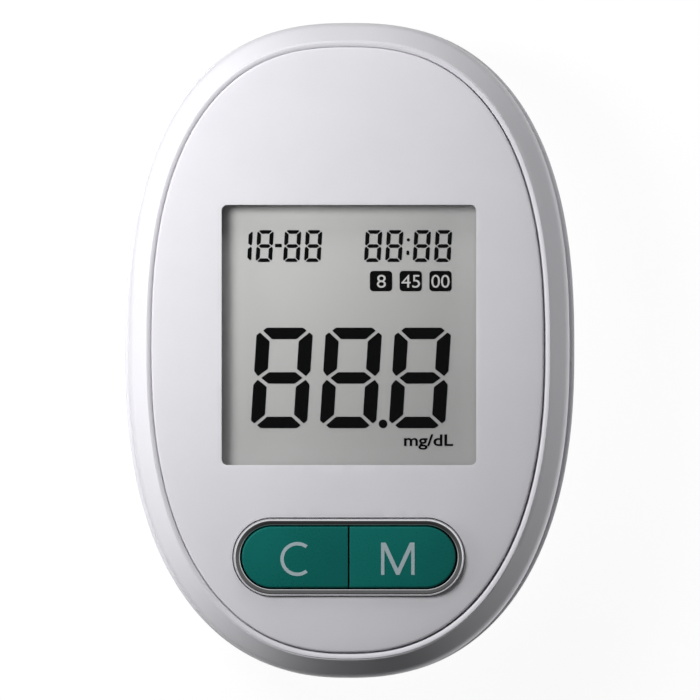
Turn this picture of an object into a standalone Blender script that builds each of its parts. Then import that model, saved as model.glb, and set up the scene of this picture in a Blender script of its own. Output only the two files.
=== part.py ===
"""A blood glucose meter, lying on its back: display up (+Z), strip port at the +Y end.

The origin is under the middle of the case, on the surface that the meter rests on.
Everything stacks up from the back: door, cells, battery bay, board, display, window,
face panel. A front bezel with a raised lip frames the panel, and a rear cover closes it.
"""

import math

import bmesh
import bpy
from mathutils import Vector

mm = 0.001

# Clearances and cuts
FIT_GAP = 0.3 * mm
OVERRUN = 6.0 * mm
SMOOTH_ANGLE = math.radians(38)

# Case outline, seen from the front
STRIP_END_FULLNESS = 2.50
LOWER_END_FULLNESS = 2.35
OUTLINE_POINTS = 72
ROUND_POINTS = 16
CORNER_STEPS = 4

# Rear cover
REAR_WALL = 1.8 * mm
BACK_ROUNDING = 7.0 * mm
BACK_FULLNESS = 2.3
REAR_SHOULDER = 0.35 * mm
REAR_STEPS = 6
DECK_THICKNESS = 1.5 * mm
DECK_MARGIN = 1.5 * mm

# Front bezel
SIDE_STEP = 0.6 * mm
SIDE_BAND_REACH = 2.28 * mm
END_BAND_REACH = 2.33 * mm
BAND_HEIGHT = 6.9 * mm
BAND_START = math.radians(20)
BAND_STEPS = 5
LIP_WIDTH = 0.72 * mm
LIP_CREST = 0.12 * mm
BEZEL_WALL = 2.9 * mm
TONGUE_DEPTH = 1.4 * mm
LEDGE_WIDTH = 2.3 * mm
LEDGE_THICKNESS = 1.2 * mm

# Face panel
PANEL_SIDE_MARGIN = 8.5 * mm
PANEL_UPPER_MARGIN = 19.84 * mm
PANEL_LOWER_MARGIN = 6.9 * mm
KEYS_TO_WINDOW = 6.56 * mm
PANEL_EDGE_THICKNESS = 1.3 * mm
PANEL_DOME = 0.5 * mm
PANEL_EDGE_ROUND = 0.3 * mm
DOME_SHARES = (0.86, 0.7, 0.5, 0.28)

# Window and display
OPENING_WIDTH = 32.2 * mm
OPENING_LENGTH = 32.9 * mm
OPENING_CORNER = 0.75 * mm
WINDOW_MARGIN = 1.4 * mm
WINDOW_REBATE = 0.7 * mm
WINDOW_THICKNESS = 0.6 * mm
GASKET_THICKNESS = 0.4 * mm
GLASS_THICKNESS = 0.6 * mm
FRONT_GLASS_SIDE_MARGIN = 1.6 * mm
FRONT_GLASS_END_MARGIN = 1.85 * mm
REAR_GLASS_SIDE_INSET = 0.9 * mm
REAR_GLASS_END_INSET = 2.3 * mm
ZEBRA_WIDTH = 1.6 * mm
DISPLAY_WALL = 0.8 * mm

# Keys and their ring
KEYS_LENGTH = 27.1 * mm
KEYS_HEIGHT = 7.8 * mm
KEY_SPLIT = 0.3 * mm
KEY_EDGE = 0.3 * mm
KEY_BELOW_RING = 0.2 * mm
KEY_FLANGE = 0.6 * mm
KEY_FLANGE_THICKNESS = 0.6 * mm
KEY_ARC_POINTS = 12
RING_WALL = 0.85 * mm
RING_RISE = 0.9 * mm
RING_EDGE = 0.28 * mm
RING_FLANGE = 0.6 * mm
RING_FLANGE_THICKNESS = 0.7 * mm

# Switches under the keys
KEY_TRAVEL = 0.4 * mm
SWITCH_SIZE = 5.2 * mm
SWITCH_HEIGHT = 0.8 * mm
PLUNGER_RADIUS = 1.0 * mm
PLUNGER_SPARE = 0.1 * mm

# Cells and battery bay
CELL_DIAMETER = 10.5 * mm
CELL_LENGTH = 44.5 * mm
CELL_NUB_RADIUS = 1.9 * mm
CELL_NUB_LENGTH = 0.9 * mm
CELL_EDGE = 0.5 * mm
CELL_SPACING = 0.5 * mm
BAY_FROM_LOWER_END = 10.8 * mm
BAY_WALL = 1.2 * mm
BAY_CEILING = 1.0 * mm
BAY_GAPS = 5
SPRING_LENGTH = 4.0 * mm
SPRING_WIRE = 0.5 * mm
SPRING_TURNS = 3.5
SPRING_WIDE_RADIUS = 3.0 * mm
SPRING_NARROW_RADIUS = 1.9 * mm
SPRING_POINTS_A_TURN = 10
CONTACT_THICKNESS = 0.4 * mm
CONTACT_WIDTH = 8.4 * mm
CONTACT_DIMPLE = 0.6 * mm
CONTACT_TAB = 3.0 * mm

# Battery door
DOOR_COVERS_SIDES_BY = 1.15 * mm
DOOR_SET_BACK = 0.15 * mm
DOOR_THICKNESS = 2.05 * mm
DOOR_FLANGE = 1.0 * mm
DOOR_FLANGE_THICKNESS = 0.85 * mm
DOOR_COVERS_BAY_BY = 1.8 * mm
DOOR_RIBS = 5
DOOR_RIB_PITCH = 2.0 * mm
DOOR_RIB_WIDTH = 1.0 * mm
DOOR_RIB_LENGTH = 12.0 * mm
DOOR_RIB_DEPTH = 0.45 * mm
DOOR_RIBS_FROM_END = 8.0 * mm

# Main board
BOARD_THICKNESS = 1.2 * mm
BOARD_CLEARANCE = 0.6 * mm
CHIP_SIZE = 8.0 * mm
CHIP_THICKNESS = 1.2 * mm
CHIP_FROM_DISPLAY = 2.54 * mm
CRYSTAL_WIDTH = 2.6 * mm
CRYSTAL_LENGTH = 7.0 * mm
CRYSTAL_CORNER = 1.1 * mm
CRYSTAL_FROM_CHIP = 5.7 * mm
BUZZER_RADIUS = 3.4 * mm
BUZZER_HEIGHT = 1.9 * mm
BUZZER_HOLE = 0.8 * mm
BUZZER_FROM_CHIP = 5.5 * mm
BUZZER_PAST_CHIP = 1.6 * mm

# Case screws and the posts that they join
SCREW_FROM_DOOR = 3.3 * mm
SCREW_FROM_SIDE = 11.7 * mm
LOWER_SCREW_FROM_END = 17.3 * mm
POST_FROM_DISPLAY = 0.74 * mm
POST_RADIUS = 2.2 * mm
POST_RIB = 1.2 * mm
BOSS_RADIUS = 2.8 * mm
SCREW_RADIUS = 0.95 * mm
SCREW_HEAD_RADIUS = 1.9 * mm
SCREW_HEAD_HEIGHT = 1.1 * mm
SCREW_HEAD_TOP_SHARE = 0.7
SCREW_SINK = 0.9 * mm
CASE_SCREW_LENGTH = 7.5 * mm
SCREW_SLOT_WIDTH = 0.5 * mm
SCREW_SLOT_LENGTH = 2.4 * mm
SCREW_SLOT_DEPTH = 0.6 * mm

# Board screws and their posts
BOARD_SCREW_LENGTH = 4.0 * mm
BOARD_POST_RADIUS = 1.9 * mm
UPPER_POST_FROM_CONNECTOR = 4.4 * mm
UPPER_POST_FROM_END = 7.5 * mm
LOWER_POST_X = 8.0 * mm
LOWER_POST_FROM_END = 6.6 * mm

# Strip port, connector and contacts
PORT_BELOW_PARTING = 4.4 * mm
PORT_WIDTH = 11.0 * mm
PORT_HEIGHT = 3.4 * mm
PORT_SET_BACK = 0.5 * mm
PORT_LENGTH = 4.6 * mm
PORT_FLANGE = 0.9 * mm
PORT_FLANGE_THICKNESS = 0.8 * mm
SLOT_WIDTH = 7.0 * mm
SLOT_HEIGHT = 1.3 * mm
SLOT_MOUTH_WIDTH = 9.4 * mm
SLOT_MOUTH_HEIGHT = 2.5 * mm
SLOT_MOUTH_DEPTH = 1.6 * mm
CONNECTOR_WIDTH = 10.0 * mm
CONNECTOR_LENGTH = 9.0 * mm
CONNECTOR_FROM_BAY = 6.4 * mm
CONNECTOR_UNDER_SLOT = 1.0 * mm
STRIP_CONTACTS = 3
STRIP_CONTACT_PITCH = 2.1 * mm
STRIP_CONTACT_WIDTH = 0.9 * mm
STRIP_CONTACT_THICKNESS = 0.3 * mm
STRIP_CONTACT_REACH = 6.5 * mm

# Heights, stacked up from the back
DOOR_TOP = DOOR_SET_BACK + DOOR_THICKNESS
RECESS_TOP = DOOR_TOP + FIT_GAP
CELL_RADIUS = CELL_DIAMETER / 2
CELL_HEIGHT = DOOR_TOP + FIT_GAP + CELL_RADIUS
BAY_TOP = CELL_HEIGHT + CELL_RADIUS + FIT_GAP
CEILING_TOP = BAY_TOP + BAY_CEILING
BOARD_BOTTOM = CEILING_TOP + FIT_GAP
BOARD_TOP = BOARD_BOTTOM + BOARD_THICKNESS
ON_BOARD = BOARD_TOP + FIT_GAP
SWITCH_TOP = ON_BOARD + SWITCH_HEIGHT
PLUNGER_BOTTOM = ON_BOARD + KEY_TRAVEL
PLUNGER_TOP = SWITCH_TOP + KEY_TRAVEL + PLUNGER_SPARE
KEY_BOTTOM = PLUNGER_TOP + FIT_GAP
KEY_FLANGE_TOP = KEY_BOTTOM + KEY_FLANGE_THICKNESS
RING_FLANGE_BOTTOM = KEY_FLANGE_TOP + FIT_GAP
POST_TOP = KEY_BOTTOM - KEY_TRAVEL - FIT_GAP
RING_FLANGE_TOP = RING_FLANGE_BOTTOM + RING_FLANGE_THICKNESS
PANEL_BOTTOM = RING_FLANGE_TOP + FIT_GAP
PANEL_RIM = PANEL_BOTTOM + PANEL_EDGE_THICKNESS
LEDGE_TOP = PANEL_BOTTOM - FIT_GAP
LEDGE_BOTTOM = LEDGE_TOP - LEDGE_THICKNESS
PARTING = PANEL_RIM - BAND_HEIGHT
REAR_TOP = PARTING - FIT_GAP
RING_TOP = PANEL_RIM + RING_RISE
KEY_TOP = RING_TOP - KEY_BELOW_RING
REBATE_TOP = PANEL_BOTTOM + WINDOW_REBATE
WINDOW_TOP = REBATE_TOP - FIT_GAP
WINDOW_BOTTOM = WINDOW_TOP - WINDOW_THICKNESS
FRONT_GLASS_TOP = WINDOW_BOTTOM - FIT_GAP
FRONT_GLASS_BOTTOM = FRONT_GLASS_TOP - GLASS_THICKNESS
REAR_GLASS_TOP = FRONT_GLASS_BOTTOM - FIT_GAP
REAR_GLASS_BOTTOM = REAR_GLASS_TOP - GLASS_THICKNESS
GASKET_TOP = PANEL_BOTTOM - FIT_GAP
GASKET_BOTTOM = GASKET_TOP - GASKET_THICKNESS
FRAME_TOP = GASKET_BOTTOM - FIT_GAP
PORT_CENTRE_HEIGHT = PARTING - PORT_BELOW_PARTING
DECK_TOP = RECESS_TOP + DECK_THICKNESS

# Across: the case is as wide as its face or its row of cells, door and screws needs
CELL_X = (CELL_DIAMETER + CELL_SPACING) / 2
BAY_HALF_WIDTH = CELL_X + CELL_RADIUS + FIT_GAP
DOOR_HALF_WIDTH = BAY_HALF_WIDTH + DOOR_COVERS_SIDES_BY
CASE_SCREW_X = DOOR_HALF_WIDTH + DOOR_FLANGE + FIT_GAP + SCREW_FROM_DOOR
SIDE_RIM = FIT_GAP + LIP_WIDTH + SIDE_BAND_REACH + SIDE_STEP
HALF_WIDTH = max(OPENING_WIDTH / 2 + PANEL_SIDE_MARGIN + SIDE_RIM, CASE_SCREW_X + SCREW_FROM_SIDE)
PANEL_HALF_WIDTH = HALF_WIDTH - SIDE_RIM
UPPER_POST_X = CONNECTOR_WIDTH / 2 + UPPER_POST_FROM_CONNECTOR

# Along: the case is as long as its face or its row of bay, connector and port needs
CONTACT_STACK = CONTACT_THICKNESS + CONTACT_DIMPLE + SPRING_LENGTH + CONTACT_THICKNESS
BAY_LENGTH = CELL_LENGTH + CONTACT_STACK + BAY_GAPS * FIT_GAP
PORT_ROW = CONNECTOR_LENGTH + FIT_GAP + PORT_LENGTH + PORT_SET_BACK
ROW_LENGTH = BAY_FROM_LOWER_END + BAY_LENGTH + CONNECTOR_FROM_BAY + PORT_ROW
RING_HALF_HEIGHT = KEYS_HEIGHT / 2 + FIT_GAP + RING_WALL
FACE_BELOW_WINDOW = PANEL_LOWER_MARGIN + RING_HALF_HEIGHT + RING_HALF_HEIGHT + KEYS_TO_WINDOW
FACE_LENGTH = FACE_BELOW_WINDOW + OPENING_LENGTH + PANEL_UPPER_MARGIN
END_RIM = FIT_GAP + LIP_WIDTH + END_BAND_REACH
HALF_LENGTH = max(FACE_LENGTH / 2 + END_RIM, ROW_LENGTH / 2)
PANEL_HALF_LENGTH = HALF_LENGTH - END_RIM
KEYS_CENTRE_Y = -PANEL_HALF_LENGTH + PANEL_LOWER_MARGIN + RING_HALF_HEIGHT
WINDOW_CENTRE_Y = -PANEL_HALF_LENGTH + FACE_BELOW_WINDOW + OPENING_LENGTH / 2
BAY_LOWER_END = -HALF_LENGTH + BAY_FROM_LOWER_END
BAY_UPPER_END = BAY_LOWER_END + BAY_LENGTH
UPPER_PLATE_FACE = BAY_UPPER_END - FIT_GAP - CONTACT_THICKNESS
LOWER_PLATE_FACE = BAY_LOWER_END + FIT_GAP + CONTACT_THICKNESS
DOOR_UPPER_END = BAY_UPPER_END + DOOR_COVERS_BAY_BY
CONNECTOR_END_Y = HALF_LENGTH - PORT_SET_BACK - PORT_LENGTH - FIT_GAP
CONNECTOR_START_Y = CONNECTOR_END_Y - CONNECTOR_LENGTH

# Display glasses and what stands on the board past their frame
FRONT_GLASS_WIDTH = OPENING_WIDTH + 2 * FRONT_GLASS_SIDE_MARGIN
FRONT_GLASS_LENGTH = OPENING_LENGTH + 2 * FRONT_GLASS_END_MARGIN
REAR_GLASS_WIDTH = FRONT_GLASS_WIDTH - 2 * REAR_GLASS_SIDE_INSET
REAR_GLASS_LENGTH = FRONT_GLASS_LENGTH - 2 * REAR_GLASS_END_INSET
DISPLAY_END_Y = WINDOW_CENTRE_Y + FRONT_GLASS_LENGTH / 2 + FIT_GAP + DISPLAY_WALL
CHIP_CENTRE_Y = DISPLAY_END_Y + CHIP_FROM_DISPLAY + CHIP_SIZE / 2
CRYSTAL_X = -(CHIP_SIZE / 2 + CRYSTAL_FROM_CHIP + CRYSTAL_WIDTH / 2)
BUZZER_X = CHIP_SIZE / 2 + BUZZER_FROM_CHIP + BUZZER_RADIUS
BUZZER_Y = CHIP_CENTRE_Y + BUZZER_PAST_CHIP
CASE_SCREW_PLACES = tuple(
    (x, y)
    for y in (DISPLAY_END_Y + POST_FROM_DISPLAY + POST_RADIUS, -HALF_LENGTH + LOWER_SCREW_FROM_END)
    for x in (-CASE_SCREW_X, CASE_SCREW_X)
)
BOARD_SCREW_PLACES = (
    (-UPPER_POST_X, HALF_LENGTH - UPPER_POST_FROM_END),
    (UPPER_POST_X, HALF_LENGTH - UPPER_POST_FROM_END),
    (-LOWER_POST_X, -HALF_LENGTH + LOWER_POST_FROM_END),
    (LOWER_POST_X, -HALF_LENGTH + LOWER_POST_FROM_END),
)


# Finishes

def finish(name, colour, roughness, metallic=0.0, alpha=1.0):
    """One plain finish, kept by name so that like pieces share it."""
    made = bpy.data.materials.get(name)
    if made:
        return made
    made = bpy.data.materials.new(name)
    made.use_nodes = True
    shader = made.node_tree.nodes["Principled BSDF"]
    shader.inputs["Base Color"].default_value = (*colour, 1.0)
    shader.inputs["Roughness"].default_value = roughness
    shader.inputs["Metallic"].default_value = metallic
    shader.inputs["Alpha"].default_value = alpha
    made.diffuse_color = (*colour, alpha)
    return made


def white_plastic():
    return finish("white_plastic", (0.80, 0.80, 0.83), 0.35)


def green_key_plastic():
    return finish("green_key_plastic", (0.010, 0.125, 0.110), 0.38)


def polished_chrome():
    return finish("polished_chrome", (0.72, 0.72, 0.74), 0.12, metallic=1.0)


def clear_lens():
    return finish("clear_lens", (0.95, 0.97, 0.96), 0.04, alpha=0.2)


def display_grey():
    return finish("display_grey", (0.52, 0.52, 0.50), 0.3)


def board_green():
    return finish("board_green", (0.02, 0.16, 0.07), 0.45)


def black_plastic():
    return finish("black_plastic", (0.02, 0.02, 0.022), 0.45)


def dark_rubber():
    return finish("dark_rubber", (0.03, 0.03, 0.03), 0.75)


def grey_plastic():
    return finish("grey_plastic", (0.35, 0.36, 0.38), 0.5)


def bright_steel():
    return finish("bright_steel", (0.62, 0.62, 0.63), 0.28, metallic=1.0)


def gold_plate():
    return finish("gold_plate", (0.85, 0.62, 0.24), 0.25, metallic=1.0)


def cell_sleeve():
    return finish("cell_sleeve", (0.10, 0.11, 0.13), 0.35)


# Outlines

def case_outline(half_width, half_length):
    """The pebble outline: an oval fuller than an ellipse, a little fuller at the strip end."""
    points = []
    for index in range(OUTLINE_POINTS):
        angle = 2 * math.pi * index / OUTLINE_POINTS
        across, along = math.cos(angle), math.sin(angle)
        power = 2 / (STRIP_END_FULLNESS if along > 0 else LOWER_END_FULLNESS)
        points.append((
            half_width * math.copysign(abs(across) ** power, across),
            half_length * math.copysign(abs(along) ** power, along),
        ))
    return points


def outline_half_width(half_width, half_length, y):
    """How far the pebble outline reaches along X at a given Y."""
    power = STRIP_END_FULLNESS if y > 0 else LOWER_END_FULLNESS
    return half_width * (1 - min(1.0, abs(y) / half_length) ** power) ** (1 / power)


def circle(radius):
    turn = 2 * math.pi / ROUND_POINTS
    return [(radius * math.cos(turn * k), radius * math.sin(turn * k)) for k in range(ROUND_POINTS)]


def rectangle(half_x, half_y):
    return [(half_x, -half_y), (half_x, half_y), (-half_x, half_y), (-half_x, -half_y)]


def round_rectangle(half_x, half_y, corner):
    """A rectangle with quarter circles for corners, anticlockwise."""
    points = []
    for quarter, (sx, sy) in enumerate(((1, 1), (-1, 1), (-1, -1), (1, -1))):
        for step in range(CORNER_STEPS + 1):
            angle = (quarter + step / CORNER_STEPS) * math.pi / 2
            points.append((
                sx * (half_x - corner) + corner * math.cos(angle),
                sy * (half_y - corner) + corner * math.sin(angle),
            ))
    return points


def pill(half_length, half_height):
    """A bar with round ends, along X."""
    points = []
    for side in (0, 1):
        for step in range(KEY_ARC_POINTS + 1):
            angle = (side + step / KEY_ARC_POINTS - 0.5) * math.pi
            centre = (half_length - half_height) * (1 if side == 0 else -1)
            points.append((
                centre + half_height * math.cos(angle),
                half_height * math.sin(angle),
            ))
    return points


def half_pill(side, inner_x, half_length, half_height):
    """The part of the pill outline on one side of the split, from inner_x to the round end."""
    points = [(side * inner_x, half_height), (side * inner_x, -half_height)]
    for step in range(KEY_ARC_POINTS + 1):
        angle = (step / KEY_ARC_POINTS - 0.5) * math.pi
        points.append((
            side * (half_length - half_height + half_height * math.cos(angle)),
            half_height * math.sin(angle),
        ))
    return points


# Making solids

def as_object(name, bm, material, place=(0.0, 0.0, 0.0), smooth=True):
    """Turns a bmesh into a named object that stands at its own place."""
    bmesh.ops.recalc_face_normals(bm, faces=bm.faces)
    mesh = bpy.data.meshes.new(name)
    bm.to_mesh(mesh)
    bm.free()
    if material:
        mesh.materials.append(material)
    if smooth:
        mesh.shade_smooth()
        mesh.set_sharp_from_angle(angle=SMOOTH_ANGLE)
    made = bpy.data.objects.new(name, mesh)
    bpy.context.scene.collection.objects.link(made)
    made.location = place
    return made


def add_ring(bm, outline, height):
    return [bm.verts.new((x, y, height)) for x, y in outline]


def bridge(bm, lower, upper):
    count = len(lower)
    for k in range(count):
        after = (k + 1) % count
        bm.faces.new((lower[k], lower[after], upper[after], upper[k]))


def loft(name, rings, material=None, place=(0.0, 0.0, 0.0), smooth=True):
    """A closed body through (outline, height) rings, with a flat cap at each end."""
    bm = bmesh.new()
    loops = [add_ring(bm, outline, height) for outline, height in rings]
    for lower, upper in zip(loops, loops[1:]):
        bridge(bm, lower, upper)
    bm.faces.new(loops[0])
    bm.faces.new(loops[-1])
    return as_object(name, bm, material, place, smooth)


def hoop(name, rings, material, place=(0.0, 0.0, 0.0)):
    """A closed body that runs round an opening: the last ring joins the first."""
    bm = bmesh.new()
    loops = [add_ring(bm, outline, height) for outline, height in rings]
    for lower, upper in zip(loops, loops[1:] + loops[:1]):
        bridge(bm, lower, upper)
    return as_object(name, bm, material, place)


def prism(name, outline, bottom, top, material=None, place=(0.0, 0.0, 0.0), smooth=True):
    return loft(name, [(outline, bottom), (outline, top)], material, place, smooth)


def block(name, low, high, material=None):
    """A box between two corners, with its origin in the middle of its underside."""
    centre_x = (low[0] + high[0]) / 2
    centre_y = (low[1] + high[1]) / 2
    outline = rectangle((high[0] - low[0]) / 2, (high[1] - low[1]) / 2)
    place = (centre_x, centre_y, low[2])
    return prism(name, outline, 0.0, high[2] - low[2], material, place, smooth=False)


def rod(name, x, y, radius, bottom, top, material=None):
    return prism(name, circle(radius), 0.0, top - bottom, material, (x, y, bottom))


def helper(made):
    """Marks a shape that only cuts or joins, so that it isn't a piece."""
    made.hide_render = True
    made.display_type = "WIRE"
    return made


def combine(target, operation, shapes):
    """Cuts shapes from target, joins them to it or keeps what they share with it."""
    for shape in shapes:
        helper(shape)
        change = target.modifiers.new(f"{operation.lower()}_{shape.name}", "BOOLEAN")
        change.operation = operation
        change.solver = "EXACT"
        change.object = shape
    return target


def cut(target, *shapes):
    return combine(target, "DIFFERENCE", shapes)


def join(target, *shapes):
    return combine(target, "UNION", shapes)


def keep_common(target, *shapes):
    return combine(target, "INTERSECT", shapes)


# Rear cover

def rear_inset(height):
    """How far in from the outline the outer face of the rear cover lies at a height."""
    climb = REAR_TOP - REAR_SHOULDER
    drop = 1 - min(1.0, max(0.0, height / climb))
    return BACK_ROUNDING * (1 - (1 - drop ** BACK_FULLNESS) ** (1 / BACK_FULLNESS))


def rear_heights(floor):
    """Heights of the rings, closer together where the back turns over."""
    climb = REAR_TOP - REAR_SHOULDER - floor
    angles = [math.pi / 2 * step / REAR_STEPS for step in range(REAR_STEPS, -1, -1)]
    return [floor + climb * (1 - math.sin(a) ** (2 / BACK_FULLNESS)) for a in angles]


def rear_outer_shape(name, material=None):
    rings = []
    for height in rear_heights(0.0):
        inset = rear_inset(height)
        rings.append((case_outline(HALF_WIDTH - inset, HALF_LENGTH - inset), height))
    shoulder = case_outline(HALF_WIDTH - REAR_SHOULDER, HALF_LENGTH - REAR_SHOULDER)
    rings.append((shoulder, REAR_TOP))
    return loft(name, rings, material)


def rear_inner_shape(name):
    """The hollow of the rear cover, open at the parting line."""
    rings = []
    for height in rear_heights(REAR_WALL):
        inset = rear_inset(height) + REAR_WALL
        rings.append((case_outline(HALF_WIDTH - inset, HALF_LENGTH - inset), height))
    rim = rings[-1][0]
    rings.append((rim, REAR_TOP + OVERRUN))
    return loft(name, rings)


def door_deck():
    """The shelf over the door: what the door's recess is cut into."""
    half_width = DOOR_HALF_WIDTH + DOOR_FLANGE + FIT_GAP + DECK_MARGIN
    return block(
        "door_deck",
        (-half_width, -HALF_LENGTH - OVERRUN, REAR_WALL / 2),
        (half_width, DOOR_UPPER_END + FIT_GAP + DECK_MARGIN, DECK_TOP),
    )


def door_recess():
    """The door's way in from the lower end, with a lip under the door's flanges."""
    upper_end = DOOR_UPPER_END + FIT_GAP
    lower_end = -HALF_LENGTH - OVERRUN
    narrow = DOOR_HALF_WIDTH + FIT_GAP
    wide = narrow + DOOR_FLANGE
    lip_top = DOOR_TOP - DOOR_FLANGE_THICKNESS - FIT_GAP
    mouth = block("door_recess_mouth", (-narrow, lower_end, -OVERRUN), (narrow, upper_end, RECESS_TOP))
    grooves = block("door_recess_grooves", (-wide, lower_end, lip_top), (wide, upper_end, RECESS_TOP))
    return mouth, grooves


def bay_shapes():
    """The battery bay's walls, and the space inside them that opens towards the door."""
    half_width = BAY_HALF_WIDTH
    walls = block(
        "bay_walls",
        (-half_width - BAY_WALL, BAY_LOWER_END - BAY_WALL, DECK_TOP - DECK_THICKNESS / 2),
        (half_width + BAY_WALL, BAY_UPPER_END + BAY_WALL, CEILING_TOP),
    )
    space = block(
        "bay_space",
        (-half_width, BAY_LOWER_END, -OVERRUN),
        (half_width, BAY_UPPER_END, BAY_TOP),
    )
    return walls, space


def tab_slots():
    """Slots in the bay's ceiling, through which two contact tabs reach the board."""
    half = CONTACT_TAB / 2 + FIT_GAP
    return [
        block(
            f"tab_slot_{number}",
            (x - half, UPPER_PLATE_FACE - FIT_GAP, BAY_TOP - FIT_GAP),
            (x + half, UPPER_PLATE_FACE + CONTACT_THICKNESS + FIT_GAP, CEILING_TOP + OVERRUN),
        )
        for number, x in enumerate((-CELL_X, CELL_X), 1)
    ]


def rear_cover():
    """The lower shell: battery bay, screw bosses, board posts and the strip port's hole."""
    cover = rear_outer_shape("rear_cover", white_plastic())
    hollow = cut(rear_inner_shape("rear_hollow"), door_deck())
    cut(cover, hollow)
    walls, bay_space = bay_shapes()
    join(cover, walls)
    floor = REAR_WALL / 2
    for number, (x, y) in enumerate(CASE_SCREW_PLACES, 1):
        join(cover, rod(f"case_boss_{number}", x, y, BOSS_RADIUS, floor, DECK_TOP))
    for number, (x, y) in enumerate(BOARD_SCREW_PLACES, 1):
        join(cover, rod(f"board_post_{number}", x, y, BOARD_POST_RADIUS, floor, CEILING_TOP))
    cut(cover, *door_recess(), bay_space, *tab_slots())
    port_half = PORT_WIDTH / 2 + FIT_GAP
    port_rise = PORT_HEIGHT / 2 + FIT_GAP
    cut(cover, block(
        "port_hole",
        (-port_half, HALF_LENGTH - REAR_WALL - OVERRUN, PORT_CENTRE_HEIGHT - port_rise),
        (port_half, HALF_LENGTH + OVERRUN, PORT_CENTRE_HEIGHT + port_rise),
    ))
    head_seat = SCREW_SINK + SCREW_HEAD_HEIGHT + FIT_GAP
    for number, (x, y) in enumerate(CASE_SCREW_PLACES, 1):
        cut(
            cover,
            rod(f"head_hole_{number}", x, y, SCREW_HEAD_RADIUS + FIT_GAP, -OVERRUN, head_seat),
            rod(f"screw_hole_{number}", x, y, SCREW_RADIUS + FIT_GAP, -OVERRUN, DECK_TOP + OVERRUN),
        )
    pilot_bottom = BOARD_TOP - BOARD_SCREW_LENGTH - FIT_GAP
    for number, (x, y) in enumerate(BOARD_SCREW_PLACES, 1):
        cut(cover, rod(
            f"board_pilot_{number}", x, y, SCREW_RADIUS + FIT_GAP, pilot_bottom, CEILING_TOP + OVERRUN
        ))
    return cover


# Battery door

def battery_door():
    """A flat door with side flanges, its lower end rounded off with the case."""
    middle_y = (DOOR_UPPER_END - HALF_LENGTH) / 2
    half_length = (DOOR_UPPER_END + HALF_LENGTH) / 2
    door = prism(
        "battery_door",
        rectangle(DOOR_HALF_WIDTH, half_length),
        DOOR_SET_BACK,
        DOOR_TOP,
        white_plastic(),
        (0.0, middle_y, 0.0),
        smooth=False,
    )
    wide = DOOR_HALF_WIDTH + DOOR_FLANGE
    flange_bottom = DOOR_TOP - DOOR_FLANGE_THICKNESS
    join(door, block(
        "door_flanges",
        (-wide, -HALF_LENGTH, flange_bottom),
        (wide, DOOR_UPPER_END, DOOR_TOP),
    ))
    for number in range(DOOR_RIBS):
        y = BAY_LOWER_END + DOOR_RIBS_FROM_END + number * DOOR_RIB_PITCH
        cut(door, block(
            f"door_grip_{number + 1}",
            (-DOOR_RIB_LENGTH / 2, y - DOOR_RIB_WIDTH / 2, -OVERRUN),
            (DOOR_RIB_LENGTH / 2, y + DOOR_RIB_WIDTH / 2, DOOR_SET_BACK + DOOR_RIB_DEPTH),
        ))
    keep_common(door, rear_outer_shape("door_end_shape"))
    return door


# Front bezel

def band_rings():
    """The rounded band from the parting line up to the foot of the lip."""
    lip_half_width = PANEL_HALF_WIDTH + FIT_GAP + LIP_WIDTH
    lip_half_length = PANEL_HALF_LENGTH + FIT_GAP + LIP_WIDTH
    outer_half_width = HALF_WIDTH - SIDE_STEP
    start = math.sin(BAND_START)
    rings = []
    for step in range(BAND_STEPS + 1):
        angle = math.pi / 2 - (math.pi / 2 - BAND_START) * step / BAND_STEPS
        share = (math.sin(angle) - start) / (1 - start)
        height = PARTING + BAND_HEIGHT * math.cos(angle) / math.cos(BAND_START)
        rings.append((
            case_outline(
                lip_half_width + (outer_half_width - lip_half_width) * share,
                lip_half_length + (HALF_LENGTH - lip_half_length) * share,
            ),
            height,
        ))
    return rings


def lip_and_ledge_rings():
    """Over the lip, down the seam, round the ledge and down the inner wall and tongue."""
    seam_x = PANEL_HALF_WIDTH + FIT_GAP
    seam_y = PANEL_HALF_LENGTH + FIT_GAP
    half_lip = LIP_WIDTH / 2
    inner_x = HALF_WIDTH - BEZEL_WALL
    inner_y = HALF_LENGTH - BEZEL_WALL
    tongue_x = HALF_WIDTH - REAR_WALL - FIT_GAP
    tongue_y = HALF_LENGTH - REAR_WALL - FIT_GAP
    return [
        (case_outline(seam_x + half_lip, seam_y + half_lip), PANEL_RIM + LIP_CREST),
        (case_outline(seam_x, seam_y), PANEL_RIM - LIP_CREST),
        (case_outline(seam_x, seam_y), LEDGE_TOP),
        (case_outline(seam_x - LEDGE_WIDTH, seam_y - LEDGE_WIDTH), LEDGE_TOP),
        (case_outline(seam_x - LEDGE_WIDTH, seam_y - LEDGE_WIDTH), LEDGE_BOTTOM),
        (case_outline(inner_x - FIT_GAP, inner_y - FIT_GAP), LEDGE_BOTTOM),
        (case_outline(inner_x, inner_y), PARTING),
        (case_outline(inner_x, inner_y), PARTING - TONGUE_DEPTH),
        (case_outline(tongue_x, tongue_y), PARTING - TONGUE_DEPTH),
        (case_outline(tongue_x, tongue_y), PARTING),
    ]


def post_rib(number, x, y):
    """The web that ties a screw post to the bezel's wall, above the board."""
    side = math.copysign(1, x)
    reach = outline_half_width(HALF_WIDTH - BEZEL_WALL / 2, HALF_LENGTH - BEZEL_WALL / 2, y)
    reach -= SIDE_STEP
    low_x, high_x = sorted((x, side * reach))
    return block(
        f"post_rib_{number}",
        (low_x, y - POST_RIB / 2, ON_BOARD),
        (high_x, y + POST_RIB / 2, POST_TOP),
    )


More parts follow.
